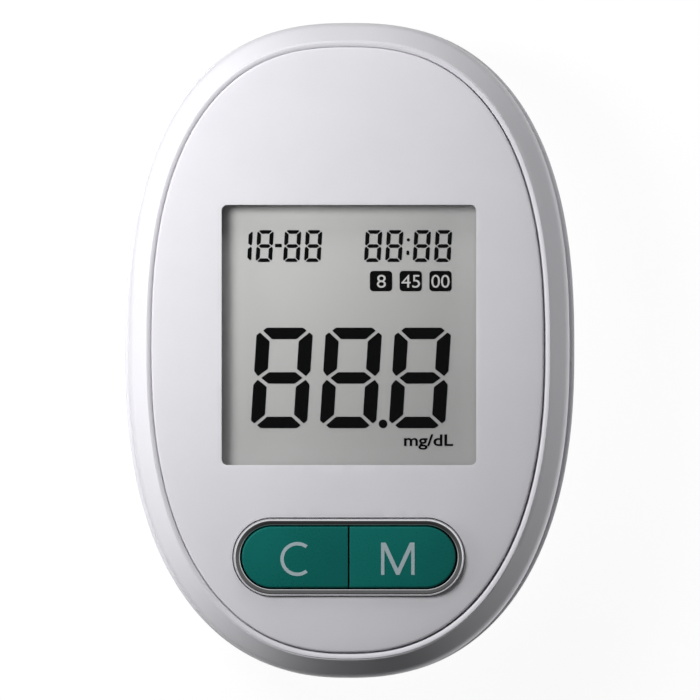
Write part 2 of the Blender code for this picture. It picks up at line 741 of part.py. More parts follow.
def front_bezel():
    """The rim round the face panel, with the posts that the case screws bite into."""
    bezel = hoop("front_bezel", band_rings() + lip_and_ledge_rings(), white_plastic())
    post_bottom = DECK_TOP + FIT_GAP
    pilot_top = SCREW_SINK + SCREW_HEAD_HEIGHT + CASE_SCREW_LENGTH + FIT_GAP
    for number, (x, y) in enumerate(CASE_SCREW_PLACES, 1):
        join(
            bezel,
            rod(f"screw_post_{number}", x, y, POST_RADIUS, post_bottom, POST_TOP),
            post_rib(number, x, y),
        )
        cut(bezel, rod(
            f"post_pilot_{number}", x, y, SCREW_RADIUS + FIT_GAP, post_bottom - OVERRUN, pilot_top
        ))
    return bezel


# Face panel and window

def face_panel():
    """The slightly domed plate, with the display opening and the key opening."""
    rings = [
        (case_outline(PANEL_HALF_WIDTH, PANEL_HALF_LENGTH), PANEL_BOTTOM),
        (case_outline(PANEL_HALF_WIDTH, PANEL_HALF_LENGTH), PANEL_RIM - PANEL_EDGE_ROUND),
    ]
    top_x = PANEL_HALF_WIDTH - PANEL_EDGE_ROUND
    top_y = PANEL_HALF_LENGTH - PANEL_EDGE_ROUND
    rings.append((case_outline(top_x, top_y), PANEL_RIM))
    for share in DOME_SHARES:
        height = PANEL_RIM + PANEL_DOME * (1 - share ** 2)
        rings.append((case_outline(top_x * share, top_y * share), height))
    panel = loft("face_panel", rings, white_plastic())
    display_opening = prism(
        "display_opening",
        round_rectangle(OPENING_WIDTH / 2, OPENING_LENGTH / 2, OPENING_CORNER),
        PANEL_BOTTOM - OVERRUN,
        PANEL_RIM + OVERRUN,
        place=(0.0, WINDOW_CENTRE_Y, 0.0),
    )
    ring_reach = FIT_GAP + RING_WALL + FIT_GAP
    key_opening = prism(
        "key_opening",
        pill(KEYS_LENGTH / 2 + ring_reach, KEYS_HEIGHT / 2 + ring_reach),
        PANEL_BOTTOM - OVERRUN,
        PANEL_RIM + OVERRUN,
        place=(0.0, KEYS_CENTRE_Y, 0.0),
    )
    window_rebate = prism(
        "window_rebate",
        window_outline(FIT_GAP),
        PANEL_BOTTOM - OVERRUN,
        REBATE_TOP,
        place=(0.0, WINDOW_CENTRE_Y, 0.0),
    )
    return cut(panel, display_opening, window_rebate, key_opening)


def window_outline(spread=0.0):
    """The lens's outline, or the rebate's when it is grown by the gap round the lens."""
    return round_rectangle(
        OPENING_WIDTH / 2 + WINDOW_MARGIN + spread,
        OPENING_LENGTH / 2 + WINDOW_MARGIN + spread,
        OPENING_CORNER + WINDOW_MARGIN / 2,
    )


def display_window():
    """The clear lens, bonded in a rebate under the panel."""
    place = (0.0, WINDOW_CENTRE_Y, 0.0)
    return prism("display_window", window_outline(), WINDOW_BOTTOM, WINDOW_TOP, clear_lens(), place)


def glass_pocket_outline(spread=0.0):
    """Just outside the front glass, or further out by spread."""
    reach = FIT_GAP + spread
    return rectangle(FRONT_GLASS_WIDTH / 2 + reach, FRONT_GLASS_LENGTH / 2 + reach)


def dust_gasket():
    """A thin foam frame between the display's frame and the underside of the panel."""
    place = (0.0, WINDOW_CENTRE_Y, 0.0)
    gasket = prism(
        "dust_gasket",
        glass_pocket_outline(DISPLAY_WALL),
        GASKET_BOTTOM,
        GASKET_TOP,
        dark_rubber(),
        place,
        smooth=False,
    )
    low, high = GASKET_BOTTOM - OVERRUN, GASKET_TOP + OVERRUN
    return cut(gasket, prism("gasket_opening", glass_pocket_outline(), low, high, place=place))


# Display

def display_glasses():
    """The two glasses of the display: the front one overhangs for the connectors."""
    place = (0.0, WINDOW_CENTRE_Y, 0.0)
    prism(
        "display_front_glass",
        rectangle(FRONT_GLASS_WIDTH / 2, FRONT_GLASS_LENGTH / 2),
        FRONT_GLASS_BOTTOM,
        FRONT_GLASS_TOP,
        display_grey(),
        place,
        smooth=False,
    )
    prism(
        "display_rear_glass",
        rectangle(REAR_GLASS_WIDTH / 2, REAR_GLASS_LENGTH / 2),
        REAR_GLASS_BOTTOM,
        REAR_GLASS_TOP,
        display_grey(),
        place,
        smooth=False,
    )


def zebra_connectors():
    """Rubber strips that carry the display's lines from the board to the front glass."""
    half_x = REAR_GLASS_WIDTH / 2
    near = REAR_GLASS_LENGTH / 2 + FIT_GAP
    for number, side in enumerate((1, -1), 1):
        ends = sorted((side * near, side * (near + ZEBRA_WIDTH)))
        block(
            f"zebra_connector_{number}",
            (-half_x, WINDOW_CENTRE_Y + ends[0], ON_BOARD),
            (half_x, WINDOW_CENTRE_Y + ends[1], REAR_GLASS_TOP),
            dark_rubber(),
        )


def display_frame():
    """The plastic frame that holds the glasses and the connectors over the board."""
    place = (0.0, WINDOW_CENTRE_Y, 0.0)
    frame = prism(
        "display_frame",
        glass_pocket_outline(DISPLAY_WALL),
        ON_BOARD,
        FRAME_TOP,
        black_plastic(),
        place,
        smooth=False,
    )
    pocket = prism(
        "glass_pocket",
        glass_pocket_outline(),
        REAR_GLASS_TOP,
        FRAME_TOP + OVERRUN,
        place=place,
    )
    through = prism(
        "frame_opening",
        rectangle(
            REAR_GLASS_WIDTH / 2 + FIT_GAP,
            REAR_GLASS_LENGTH / 2 + FIT_GAP + ZEBRA_WIDTH + FIT_GAP,
        ),
        ON_BOARD - OVERRUN,
        FRAME_TOP + OVERRUN,
        place=place,
    )
    return cut(frame, pocket, through)


# Keys

def ring_outline(spread):
    """The ring's inner outline, grown outwards by spread."""
    reach = FIT_GAP + spread
    return pill(KEYS_LENGTH / 2 + reach, KEYS_HEIGHT / 2 + reach)


def button_ring():
    """The polished ring round the two keys, with a flange under the panel."""
    rings = [
        (ring_outline(0.0), RING_FLANGE_BOTTOM),
        (ring_outline(0.0), RING_TOP - RING_EDGE),
        (ring_outline(RING_EDGE), RING_TOP),
        (ring_outline(RING_WALL - RING_EDGE), RING_TOP),
        (ring_outline(RING_WALL), RING_TOP - RING_EDGE),
        (ring_outline(RING_WALL), RING_FLANGE_TOP),
        (ring_outline(RING_WALL + RING_FLANGE), RING_FLANGE_TOP),
        (ring_outline(RING_WALL + RING_FLANGE), RING_FLANGE_BOTTOM),
    ]
    return hoop("button_ring", rings, polished_chrome(), (0.0, KEYS_CENTRE_Y, 0.0))


def key(name, side):
    """One half of the green pill, with a flange that keeps it under the ring."""
    centre_x = side * KEYS_LENGTH / 4

    def outline(spread, split_spread):
        points = half_pill(
            side,
            KEY_SPLIT / 2 - split_spread,
            KEYS_LENGTH / 2 + spread,
            KEYS_HEIGHT / 2 + spread,
        )
        return [(x - centre_x, y) for x, y in points]

    rings = [
        (outline(KEY_FLANGE, 0.0), KEY_BOTTOM),
        (outline(KEY_FLANGE, 0.0), KEY_FLANGE_TOP),
        (outline(0.0, 0.0), KEY_FLANGE_TOP),
        (outline(0.0, 0.0), KEY_TOP - KEY_EDGE),
        (outline(-KEY_EDGE, -KEY_EDGE), KEY_TOP),
    ]
    origin = Vector((centre_x, KEYS_CENTRE_Y, KEY_TOP))
    rings = [(points, height - origin.z) for points, height in rings]
    return loft(name, rings, green_key_plastic(), origin)


def key_switch(letter, pressed_by):
    """A small switch on the board, with a plunger that its key pushes down."""
    x = pressed_by.location.x
    half = SWITCH_SIZE / 2
    body = block(
        f"{letter}_switch",
        (x - half, KEYS_CENTRE_Y - half, ON_BOARD),
        (x + half, KEYS_CENTRE_Y + half, SWITCH_TOP),
        black_plastic(),
    )
    cut(body, rod(
        f"{letter}_switch_hole",
        x,
        KEYS_CENTRE_Y,
        PLUNGER_RADIUS + FIT_GAP,
        ON_BOARD - OVERRUN,
        SWITCH_TOP + OVERRUN,
    ))
    plunger = rod(
        f"{letter}_plunger", x, KEYS_CENTRE_Y, PLUNGER_RADIUS, PLUNGER_BOTTOM, PLUNGER_TOP, grey_plastic()
    )
    plunger.parent = pressed_by
    plunger.location = Vector((x, KEYS_CENTRE_Y, PLUNGER_BOTTOM)) - pressed_by.location


# Main board

def main_board():
    """The circuit board, notched round the bezel's posts."""
    inset = BEZEL_WALL + BOARD_CLEARANCE
    board = prism(
        "main_board",
        case_outline(HALF_WIDTH - inset, HALF_LENGTH - inset),
        BOARD_BOTTOM,
        BOARD_TOP,
        board_green(),
    )
    low, high = BOARD_BOTTOM - OVERRUN, BOARD_TOP + OVERRUN
    for number, (x, y) in enumerate(CASE_SCREW_PLACES, 1):
        cut(board, rod(f"board_notch_{number}", x, y, POST_RADIUS + FIT_GAP, low, high))
        edge = math.copysign(HALF_WIDTH, x)
        sides = sorted((x, edge))
        half = POST_RADIUS + FIT_GAP
        cut(board, block(f"board_relief_{number}", (sides[0], y - half, low), (sides[1], y + half, high)))
    for number, (x, y) in enumerate(BOARD_SCREW_PLACES, 1):
        cut(board, rod(f"board_hole_{number}", x, y, SCREW_RADIUS + FIT_GAP, low, high))
    return board


def board_components():
    """The processor, the timing crystal and the buzzer, all on the board's front."""
    half = CHIP_SIZE / 2
    block(
        "processor_chip",
        (-half, CHIP_CENTRE_Y - half, ON_BOARD),
        (half, CHIP_CENTRE_Y + half, ON_BOARD + CHIP_THICKNESS),
        black_plastic(),
    )
    prism(
        "timing_crystal",
        round_rectangle(CRYSTAL_WIDTH / 2, CRYSTAL_LENGTH / 2, CRYSTAL_CORNER),
        0.0,
        CRYSTAL_WIDTH,
        bright_steel(),
        (CRYSTAL_X, CHIP_CENTRE_Y, ON_BOARD),
    )
    top = ON_BOARD + BUZZER_HEIGHT
    buzzer = rod("buzzer", BUZZER_X, BUZZER_Y, BUZZER_RADIUS, ON_BOARD, top, black_plastic())
    cut(buzzer, rod(
        "buzzer_sound_hole", BUZZER_X, BUZZER_Y, BUZZER_HOLE, top - BUZZER_HEIGHT / 2, top + OVERRUN
    ))


# Screws

def screw(name, length, place, heads_down):
    """A pan head screw with a cross slot, its origin under the middle of its head."""
    head = SCREW_HEAD_HEIGHT
    way = 1 if heads_down else -1
    rings = [
        (circle(SCREW_RADIUS / 2), way * length),
        (circle(SCREW_RADIUS), way * (length - SCREW_RADIUS)),
        (circle(SCREW_RADIUS), 0.0),
        (circle(SCREW_HEAD_RADIUS), 0.0),
        (circle(SCREW_HEAD_RADIUS), -way * head / 2),
        (circle(SCREW_HEAD_RADIUS * SCREW_HEAD_TOP_SHARE), -way * head),
    ]
    made = loft(name, rings, bright_steel(), place)
    slot_floor = -way * (head - SCREW_SLOT_DEPTH)
    slot_mouth = -way * (head + OVERRUN)
    low, high = sorted((slot_floor, slot_mouth))
    for number, (half_x, half_y) in enumerate((
        (SCREW_SLOT_LENGTH / 2, SCREW_SLOT_WIDTH / 2),
        (SCREW_SLOT_WIDTH / 2, SCREW_SLOT_LENGTH / 2),
    ), 1):
        cut(made, prism(f"{name}_slot_{number}", rectangle(half_x, half_y), low, high, place=place))
    return made


def case_screws():
    seat = SCREW_SINK + SCREW_HEAD_HEIGHT
    for number, (x, y) in enumerate(CASE_SCREW_PLACES, 1):
        screw(f"case_screw_{number}", CASE_SCREW_LENGTH, (x, y, seat), heads_down=True)


def board_screws():
    for number, (x, y) in enumerate(BOARD_SCREW_PLACES, 1):
        screw(f"board_screw_{number}", BOARD_SCREW_LENGTH, (x, y, ON_BOARD), heads_down=False)


# Cells, springs and contacts

def turned_along_y(made, facing):
    """Lays a shape that was made along Z on its side, with its top towards +Y or -Y."""
    made.rotation_euler = (-facing * math.pi / 2, 0.0, 0.0)
    return made


def battery_cell(number, side, facing):
    """One AAA cell, with its nub towards +Y or -Y."""
    body_length = CELL_LENGTH - CELL_NUB_LENGTH
    rings = [
        (circle(CELL_RADIUS - CELL_EDGE), 0.0),
        (circle(CELL_RADIUS), CELL_EDGE),
        (circle(CELL_RADIUS), body_length - CELL_EDGE),
        (circle(CELL_RADIUS - CELL_EDGE), body_length),
        (circle(CELL_NUB_RADIUS), body_length),
        (circle(CELL_NUB_RADIUS), CELL_LENGTH),
    ]
    if facing > 0:
        flat_end = LOWER_PLATE_FACE + FIT_GAP + SPRING_LENGTH + FIT_GAP
    else:
        flat_end = UPPER_PLATE_FACE - FIT_GAP - SPRING_LENGTH - FIT_GAP
    cell = loft(f"battery_cell_{number}", rings, cell_sleeve(), (side * CELL_X, flat_end, CELL_HEIGHT))
    return turned_along_y(cell, facing)


def least_gap_in_coil(points, wire):
    """The least space between one turn of a coil and the next, from its centre line."""
    apart = SPRING_POINTS_A_TURN // 2
    least = min(
        (points[i] - points[j]).length
        for i in range(len(points))
        for j in range(i + apart, len(points))
    )
    return least - wire


def battery_spring(number, side, facing):
    """A tapered coil, wide at its contact plate, that pushes on a cell's flat end."""
    count = round(SPRING_TURNS * SPRING_POINTS_A_TURN)
    rise = SPRING_LENGTH - SPRING_WIRE
    points = []
    for index in range(count + 1):
        share = index / count
        angle = 2 * math.pi * SPRING_TURNS * share
        radius = SPRING_WIDE_RADIUS + (SPRING_NARROW_RADIUS - SPRING_WIDE_RADIUS) * share
        points.append(Vector((
            radius * math.cos(angle),
            radius * math.sin(angle),
            SPRING_WIRE / 2 + rise * share,
        )))
    name = f"battery_spring_{number}"
    gap = least_gap_in_coil(points, SPRING_WIRE)
    print(f"{name}: {gap / mm:.2f} mm between its turns")
    curve = bpy.data.curves.new(name, "CURVE")
    curve.dimensions = "3D"
    curve.bevel_depth = SPRING_WIRE / 2
    curve.bevel_resolution = 1
    curve.use_fill_caps = True
    curve.materials.append(bright_steel())
    line = curve.splines.new("POLY")
    line.points.add(len(points) - 1)
    for point, spot in zip(line.points, points):
        point.co = (*spot, 1.0)
    made = bpy.data.objects.new(name, curve)
    bpy.context.scene.collection.objects.link(made)
    start = LOWER_PLATE_FACE + FIT_GAP if facing > 0 else UPPER_PLATE_FACE - FIT_GAP
    made.location = (side * CELL_X, start, CELL_HEIGHT)
    return turned_along_y(made, facing)


def contact_dimple(name, side, face, facing):
    """The pressed button in a contact plate that meets a cell's nub."""
    sink = CONTACT_THICKNESS / 2
    low, high = sorted((-sink, CONTACT_DIMPLE))
    made = prism(name, circle(CELL_NUB_RADIUS), low, high, place=(side * CELL_X, face, CELL_HEIGHT))
    return turned_along_y(made, facing)


def end_contact(name, side):
    """A plate at the bay's upper end, with a tab that goes through the ceiling."""
    half = CONTACT_WIDTH / 2
    x = side * CELL_X
    back = UPPER_PLATE_FACE + CONTACT_THICKNESS
    plate = block(
        name,
        (x - half, UPPER_PLATE_FACE, CELL_HEIGHT - half),
        (x + half, back, CELL_HEIGHT + half),
        bright_steel(),
    )
    join(plate, block(
        f"{name}_tab",
        (x - CONTACT_TAB / 2, UPPER_PLATE_FACE, CELL_HEIGHT),
        (x + CONTACT_TAB / 2, back, CEILING_TOP),
    ))
    return plate


def link_contact():
    """The plate at the bay's lower end that joins both cells."""
    half = CONTACT_WIDTH / 2
    plate = block(
        "link_contact",
        (-CELL_X - half, LOWER_PLATE_FACE - CONTACT_THICKNESS, CELL_HEIGHT - half),
        (CELL_X + half, LOWER_PLATE_FACE, CELL_HEIGHT + half),
        bright_steel(),
    )
    return join(plate, contact_dimple("link_dimple", 1, LOWER_PLATE_FACE, 1))


def battery_parts():
    battery_cell(1, -1, 1)
    battery_cell(2, 1, -1)
    battery_spring(1, -1, 1)
    battery_spring(2, 1, -1)
    plus = end_contact("positive_contact", -1)
    join(plus, contact_dimple("positive_dimple", -1, UPPER_PLATE_FACE, -1))
    end_contact("negative_contact", 1)
    link_contact()


# Strip port, connector and contacts

def strip_port_guide():
    """The funnelled insert in the top end wall that leads a test strip in."""
    outer_y = HALF_LENGTH - PORT_SET_BACK
    inner_y = outer_y - PORT_LENGTH
    z = PORT_CENTRE_HEIGHT
    guide = block(
        "strip_port_guide",
        (-PORT_WIDTH / 2, inner_y, z - PORT_HEIGHT / 2),
        (PORT_WIDTH / 2, outer_y, z + PORT_HEIGHT / 2),
        grey_plastic(),
    )
    flange_x = PORT_WIDTH / 2 + PORT_FLANGE
    flange_z = PORT_HEIGHT / 2 + PORT_FLANGE
    flange_end = HALF_LENGTH - REAR_WALL - rear_inset(z - flange_z) - FIT_GAP - PORT_SET_BACK
    join(guide, block(
        "port_flange",
        (-flange_x, flange_end - PORT_FLANGE_THICKNESS, z - flange_z),
        (flange_x, flange_end, z + flange_z),
    ))
    slot = block(
        "port_slot",
        (-SLOT_WIDTH / 2, inner_y - OVERRUN, z - SLOT_HEIGHT / 2),
        (SLOT_WIDTH / 2, outer_y, z + SLOT_HEIGHT / 2),
    )
    funnel = loft(
        "port_funnel",
        [
            (rectangle(SLOT_WIDTH / 2 - FIT_GAP, SLOT_HEIGHT / 2 - FIT_GAP), -SLOT_MOUTH_DEPTH),
            (rectangle(SLOT_MOUTH_WIDTH / 2, SLOT_MOUTH_HEIGHT / 2), FIT_GAP),
        ],
        place=(0.0, outer_y, z),
        smooth=False,
    )
    turned_along_y(funnel, 1)
    return cut(guide, slot, funnel)


def strip_connector():
    """The block under the board that takes the strip's end."""
    z = PORT_CENTRE_HEIGHT
    body = block(
        "strip_connector",
        (-CONNECTOR_WIDTH / 2, CONNECTOR_START_Y, z - SLOT_HEIGHT / 2 - CONNECTOR_UNDER_SLOT),
        (CONNECTOR_WIDTH / 2, CONNECTOR_END_Y, BOARD_BOTTOM - FIT_GAP),
        black_plastic(),
    )
    return cut(body, block(
        "connector_slot",
        (-SLOT_WIDTH / 2, CONNECTOR_START_Y - OVERRUN, z - SLOT_HEIGHT / 2),
        (SLOT_WIDTH / 2, CONNECTOR_END_Y + OVERRUN, z + SLOT_HEIGHT / 2),
    ))


def strip_contacts():
    """Gold leaves along the top of the slot, each with a leg up to the board."""
    half = STRIP_CONTACT_WIDTH / 2
    arm_top = PORT_CENTRE_HEIGHT + SLOT_HEIGHT / 2 - FIT_GAP
    leg_front = CONNECTOR_START_Y - FIT_GAP
    leg_back = leg_front - STRIP_CONTACT_THICKNESS
    middle = (STRIP_CONTACTS - 1) / 2
    for number in range(STRIP_CONTACTS):
        x = (number - middle) * STRIP_CONTACT_PITCH
        arm = block(
            f"strip_contact_{number + 1}",
            (x - half, leg_back, arm_top - STRIP_CONTACT_THICKNESS),
            (x + half, leg_front + STRIP_CONTACT_REACH, arm_top),
            gold_plate(),
        )
        join(arm, block(
            f"strip_contact_leg_{number + 1}",
            (x - half, leg_back, arm_top - STRIP_CONTACT_THICKNESS),
            (x + half, leg_front, BOARD_BOTTOM - FIT_GAP),
        ))


# The whole meter

def clear_scene():
    for old in list(bpy.data.objects):
        bpy.data.objects.remove(old, do_unlink=True)


def build_meter():
    clear_scene()
    rear_cover()
    battery_door()
    front_bezel()
    face_panel()
    display_window()
    dust_gasket()
    display_glasses()
    zebra_connectors()
    display_frame()
    button_ring()
    for letter, side in (("c", -1), ("m", 1)):
        key_switch(letter, key(f"{letter}_button", side))
    main_board()
    board_components()
    case_screws()
    board_screws()
    battery_parts()
    strip_port_guide()
    strip_connector()
    strip_contacts()


build_meter()
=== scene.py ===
import bpy
import math
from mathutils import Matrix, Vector


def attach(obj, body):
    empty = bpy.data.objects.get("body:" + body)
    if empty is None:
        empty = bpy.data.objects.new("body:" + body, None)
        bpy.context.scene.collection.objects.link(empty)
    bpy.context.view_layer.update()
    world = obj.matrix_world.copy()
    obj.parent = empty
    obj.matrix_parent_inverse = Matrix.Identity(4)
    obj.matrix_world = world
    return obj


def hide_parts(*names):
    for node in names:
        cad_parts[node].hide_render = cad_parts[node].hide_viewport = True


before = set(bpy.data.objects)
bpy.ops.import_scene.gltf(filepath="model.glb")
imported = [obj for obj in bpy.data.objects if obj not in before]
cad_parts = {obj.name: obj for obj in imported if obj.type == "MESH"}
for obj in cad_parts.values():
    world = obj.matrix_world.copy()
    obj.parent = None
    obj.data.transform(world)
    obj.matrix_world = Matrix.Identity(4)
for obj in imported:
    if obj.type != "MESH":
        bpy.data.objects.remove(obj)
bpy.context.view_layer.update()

# Rear cover
# The lower half of the case, moulded in white ABS with a fine spark-eroded texture. It carries
# the battery bay, the posts for the board and the sunk holes for the four case screws.
mm = 0.001
FIT_GAP = 0.3 * mm
STRIP_END_FULLNESS = 2.50
LOWER_END_FULLNESS = 2.35
OUTLINE_POINTS = 256
HALF_WIDTH = 28.5 * mm
HALF_LENGTH = 41.5 * mm
REAR_TOP = 13.7 * mm
REAR_WALL = 1.8 * mm
REAR_SHOULDER = 0.35 * mm
BACK_ROUNDING = 7.0 * mm
BACK_FULLNESS = 2.3
BACK_STEPS = 22
SHOULDER_STEPS = 4
OVERRUN = 6.0 * mm


def stand_alone(piece):
    """Leaves only this piece selected and active."""
    bpy.ops.object.select_all(action="DESELECT")
    piece.select_set(True)
    bpy.context.view_layer.objects.active = piece


def settle(piece, name):
    """Names a piece and bakes its place into its mesh."""
    piece.name = piece.data.name = name
    stand_alone(piece)
    bpy.ops.object.transform_apply(location=True, rotation=True, scale=True)
    return piece


def smooth(piece, degrees=32):
    """Shades a piece smooth, but for the edges where faces meet at more than this angle."""
    stand_alone(piece)
    bpy.ops.object.shade_smooth_by_angle(angle=math.radians(degrees))


def pebble_line(turn, half_width, half_length):
    """The case's outline: a full oval, a little squarer at the strip end."""
    across, along = math.cos(turn), math.sin(turn)
    power = 2 / (STRIP_END_FULLNESS if along > 0 else LOWER_END_FULLNESS)
    return (
        half_width * math.copysign(abs(across) ** power, across),
        half_length * math.copysign(abs(along) ** power, along),
    )


def loft(name, line, rings, hoop=False, points=OUTLINE_POINTS):
    """Extrudes a circle once for each ring, then draws every ring out to an outline.

    A ring is its two half sizes and its height. A hoop closes from its last ring to its first.
    """
    bpy.ops.object.select_all(action="DESELECT")
    bpy.ops.mesh.primitive_circle_add(
        vertices=points, radius=1.0, fill_type="NOTHING" if hoop else "NGON", location=(0, 0, 0)
    )
    made = bpy.context.object
    bpy.ops.object.mode_set(mode="EDIT")
    bpy.ops.mesh.select_mode(type="VERT")
    bpy.ops.mesh.select_all(action="SELECT")
    for _ in rings[1:]:
        bpy.ops.mesh.extrude_region_move(TRANSFORM_OT_translate={"value": (0, 0, 1)})
    bpy.ops.mesh.select_all(action="DESELECT")
    bpy.ops.object.mode_set(mode="OBJECT")
    for point in made.data.vertices:
        across, along, level = point.co
        half_x, half_y, height = rings[round(level)]
        point.co = (*line(math.atan2(along, across), half_x, half_y), height)
        point.select = round(level) in (0, len(rings) - 1)
    bpy.ops.object.mode_set(mode="EDIT")
    if hoop:
        bpy.ops.mesh.bridge_edge_loops()
    bpy.ops.mesh.select_all(action="SELECT")
    bpy.ops.mesh.normals_make_consistent(inside=False)
    bpy.ops.object.mode_set(mode="OBJECT")
    return settle(made, name)


def slab(low, high):
    """A plain block between two corners, to cut or join with."""
    bpy.ops.object.select_all(action="DESELECT")
    bpy.ops.mesh.primitive_cube_add(size=1, location=[(a + b) / 2 for a, b in zip(low, high)])
    made = bpy.context.object
    made.scale = [b - a for a, b in zip(low, high)]
    return settle(made, "slab")


def peg(x, y, radius, low, high, points=32):
    """A plain upright rod, to cut or join with."""
    bpy.ops.object.select_all(action="DESELECT")
    bpy.ops.mesh.primitive_cylinder_add(
        vertices=points, radius=radius, depth=high - low, location=(x, y, (low + high) / 2)
    )
    return settle(bpy.context.object, "peg")


def carve(target, shape, operation="DIFFERENCE"):
    """Cuts a shape from a piece, joins it on or keeps what they share, and drops the shape."""
    stand_alone(target)
    bpy.ops.object.modifier_add(type="BOOLEAN")
    change = target.modifiers[-1]
    change.operation = operation
    change.solver = "EXACT"
    change.object = shape
    bpy.ops.object.modifier_apply(modifier=change.name)
    bpy.data.objects.remove(shape, do_unlink=True)


def back_rings(floor, inset):
    """The rings of the rounded back from its flat up to where it stands upright."""
    climb = REAR_TOP - REAR_SHOULDER
    rings = []
    for step in range(BACK_STEPS, -1, -1):
        turn = math.pi / 2 * step / BACK_STEPS
        height = floor + (climb - floor) * (1 - math.sin(turn) ** (2 / BACK_FULLNESS))
        drop = 1 - height / climb
        pull = BACK_ROUNDING * (1 - (1 - drop ** BACK_FULLNESS) ** (1 / BACK_FULLNESS)) + inset
        rings.append((HALF_WIDTH - pull, HALF_LENGTH - pull, height))
    return rings


def back_form(name):
    """The outside of the rear cover as a closed body."""
    rings = back_rings(0.0, 0.0)
    for step in range(1, SHOULDER_STEPS + 1):
        turn = math.pi / 2 * step / SHOULDER_STEPS
        pull = REAR_SHOULDER * (1 - math.cos(turn))
        rise = REAR_SHOULDER * math.sin(turn)
        rings.append((HALF_WIDTH - pull, HALF_LENGTH - pull, REAR_TOP - REAR_SHOULDER + rise))
    return loft(name, pebble_line, rings)


DECK_HALF_WIDTH = 15.0 * mm
DECK_END = 24.3 * mm
DECK_TOP = 4.0 * mm
BAY_HALF_WIDTH = 11.05 * mm
BAY_LOWER_END = -30.7 * mm
BAY_UPPER_END = 20.7 * mm
BAY_TOP = 13.3 * mm
BAY_WALL = 1.2 * mm
CEILING_TOP = 14.3 * mm
CASE_SCREWS = [(x * mm, y * mm) for y in (24.2, -24.2) for x in (-16.8, 16.8)]
BOARD_SCREWS = [(x * mm, y * mm) for x, y in ((-9.4, 34.0), (9.4, 34.0), (-8.0, -34.9), (8.0, -34.9))]
BOSS_RADIUS = 2.8 * mm
BOARD_POST_RADIUS = 1.9 * mm
HEAD_HOLE_RADIUS = 2.2 * mm
HEAD_HOLE_TOP = 2.3 * mm
SCREW_HOLE_RADIUS = 1.25 * mm
PILOT_BOTTOM = 11.5 * mm
RECESS_HALF_WIDTH = 12.5 * mm
RECESS_GROOVE = 1.0 * mm
RECESS_LIP_TOP = 1.05 * mm
RECESS_TOP = 2.5 * mm
RECESS_END = 22.8 * mm
TAB_HALF_WIDTH = 1.8 * mm
TAB_SLOT_ENDS = (19.7 * mm, 20.7 * mm)
CELL_X = 5.5 * mm
PORT_HEIGHT = 9.6 * mm
PORT_HALF = (5.8 * mm, 2.0 * mm)

rear_cover = back_form("rear_shell")
hollow = loft("hollow", pebble_line, back_rings(REAR_WALL, REAR_WALL) + [
    (HALF_WIDTH - REAR_WALL, HALF_LENGTH - REAR_WALL, REAR_TOP + OVERRUN)
])
carve(hollow, slab(
    (-DECK_HALF_WIDTH, -HALF_LENGTH - OVERRUN, REAR_WALL / 2), (DECK_HALF_WIDTH, DECK_END, DECK_TOP)
))
carve(rear_cover, hollow)
carve(rear_cover, slab(
    (-BAY_HALF_WIDTH - BAY_WALL, BAY_LOWER_END - BAY_WALL, DECK_TOP - BAY_WALL),
    (BAY_HALF_WIDTH + BAY_WALL, BAY_UPPER_END + BAY_WALL, CEILING_TOP),
), "UNION")
for x, y in CASE_SCREWS:
    carve(rear_cover, peg(x, y, BOSS_RADIUS, REAR_WALL / 2, DECK_TOP), "UNION")
for x, y in BOARD_SCREWS:
    carve(rear_cover, peg(x, y, BOARD_POST_RADIUS, REAR_WALL / 2, CEILING_TOP), "UNION")
carve(rear_cover, slab(
    (-RECESS_HALF_WIDTH, -HALF_LENGTH - OVERRUN, -OVERRUN), (RECESS_HALF_WIDTH, RECESS_END, RECESS_TOP)
))
groove_edge = RECESS_HALF_WIDTH + RECESS_GROOVE
carve(rear_cover, slab(
    (-groove_edge, -HALF_LENGTH - OVERRUN, RECESS_LIP_TOP), (groove_edge, RECESS_END, RECESS_TOP)
))
carve(rear_cover, slab(
    (-BAY_HALF_WIDTH, BAY_LOWER_END, -OVERRUN), (BAY_HALF_WIDTH, BAY_UPPER_END, BAY_TOP)
))
for x in (-CELL_X, CELL_X):
    carve(rear_cover, slab(
        (x - TAB_HALF_WIDTH, TAB_SLOT_ENDS[0], BAY_TOP - FIT_GAP),
        (x + TAB_HALF_WIDTH, TAB_SLOT_ENDS[1], CEILING_TOP + OVERRUN),
    ))
carve(rear_cover, slab(
    (-PORT_HALF[0], HALF_LENGTH - REAR_WALL - OVERRUN, PORT_HEIGHT - PORT_HALF[1]),
    (PORT_HALF[0], HALF_LENGTH + OVERRUN, PORT_HEIGHT + PORT_HALF[1]),
))
for x, y in CASE_SCREWS:
    carve(rear_cover, peg(x, y, HEAD_HOLE_RADIUS, -OVERRUN, HEAD_HOLE_TOP, 48))
    carve(rear_cover, peg(x, y, SCREW_HOLE_RADIUS, -OVERRUN, DECK_TOP + OVERRUN))
for x, y in BOARD_SCREWS:
    carve(rear_cover, peg(x, y, SCREW_HOLE_RADIUS, PILOT_BOTTOM, CEILING_TOP + OVERRUN))
smooth(rear_cover)


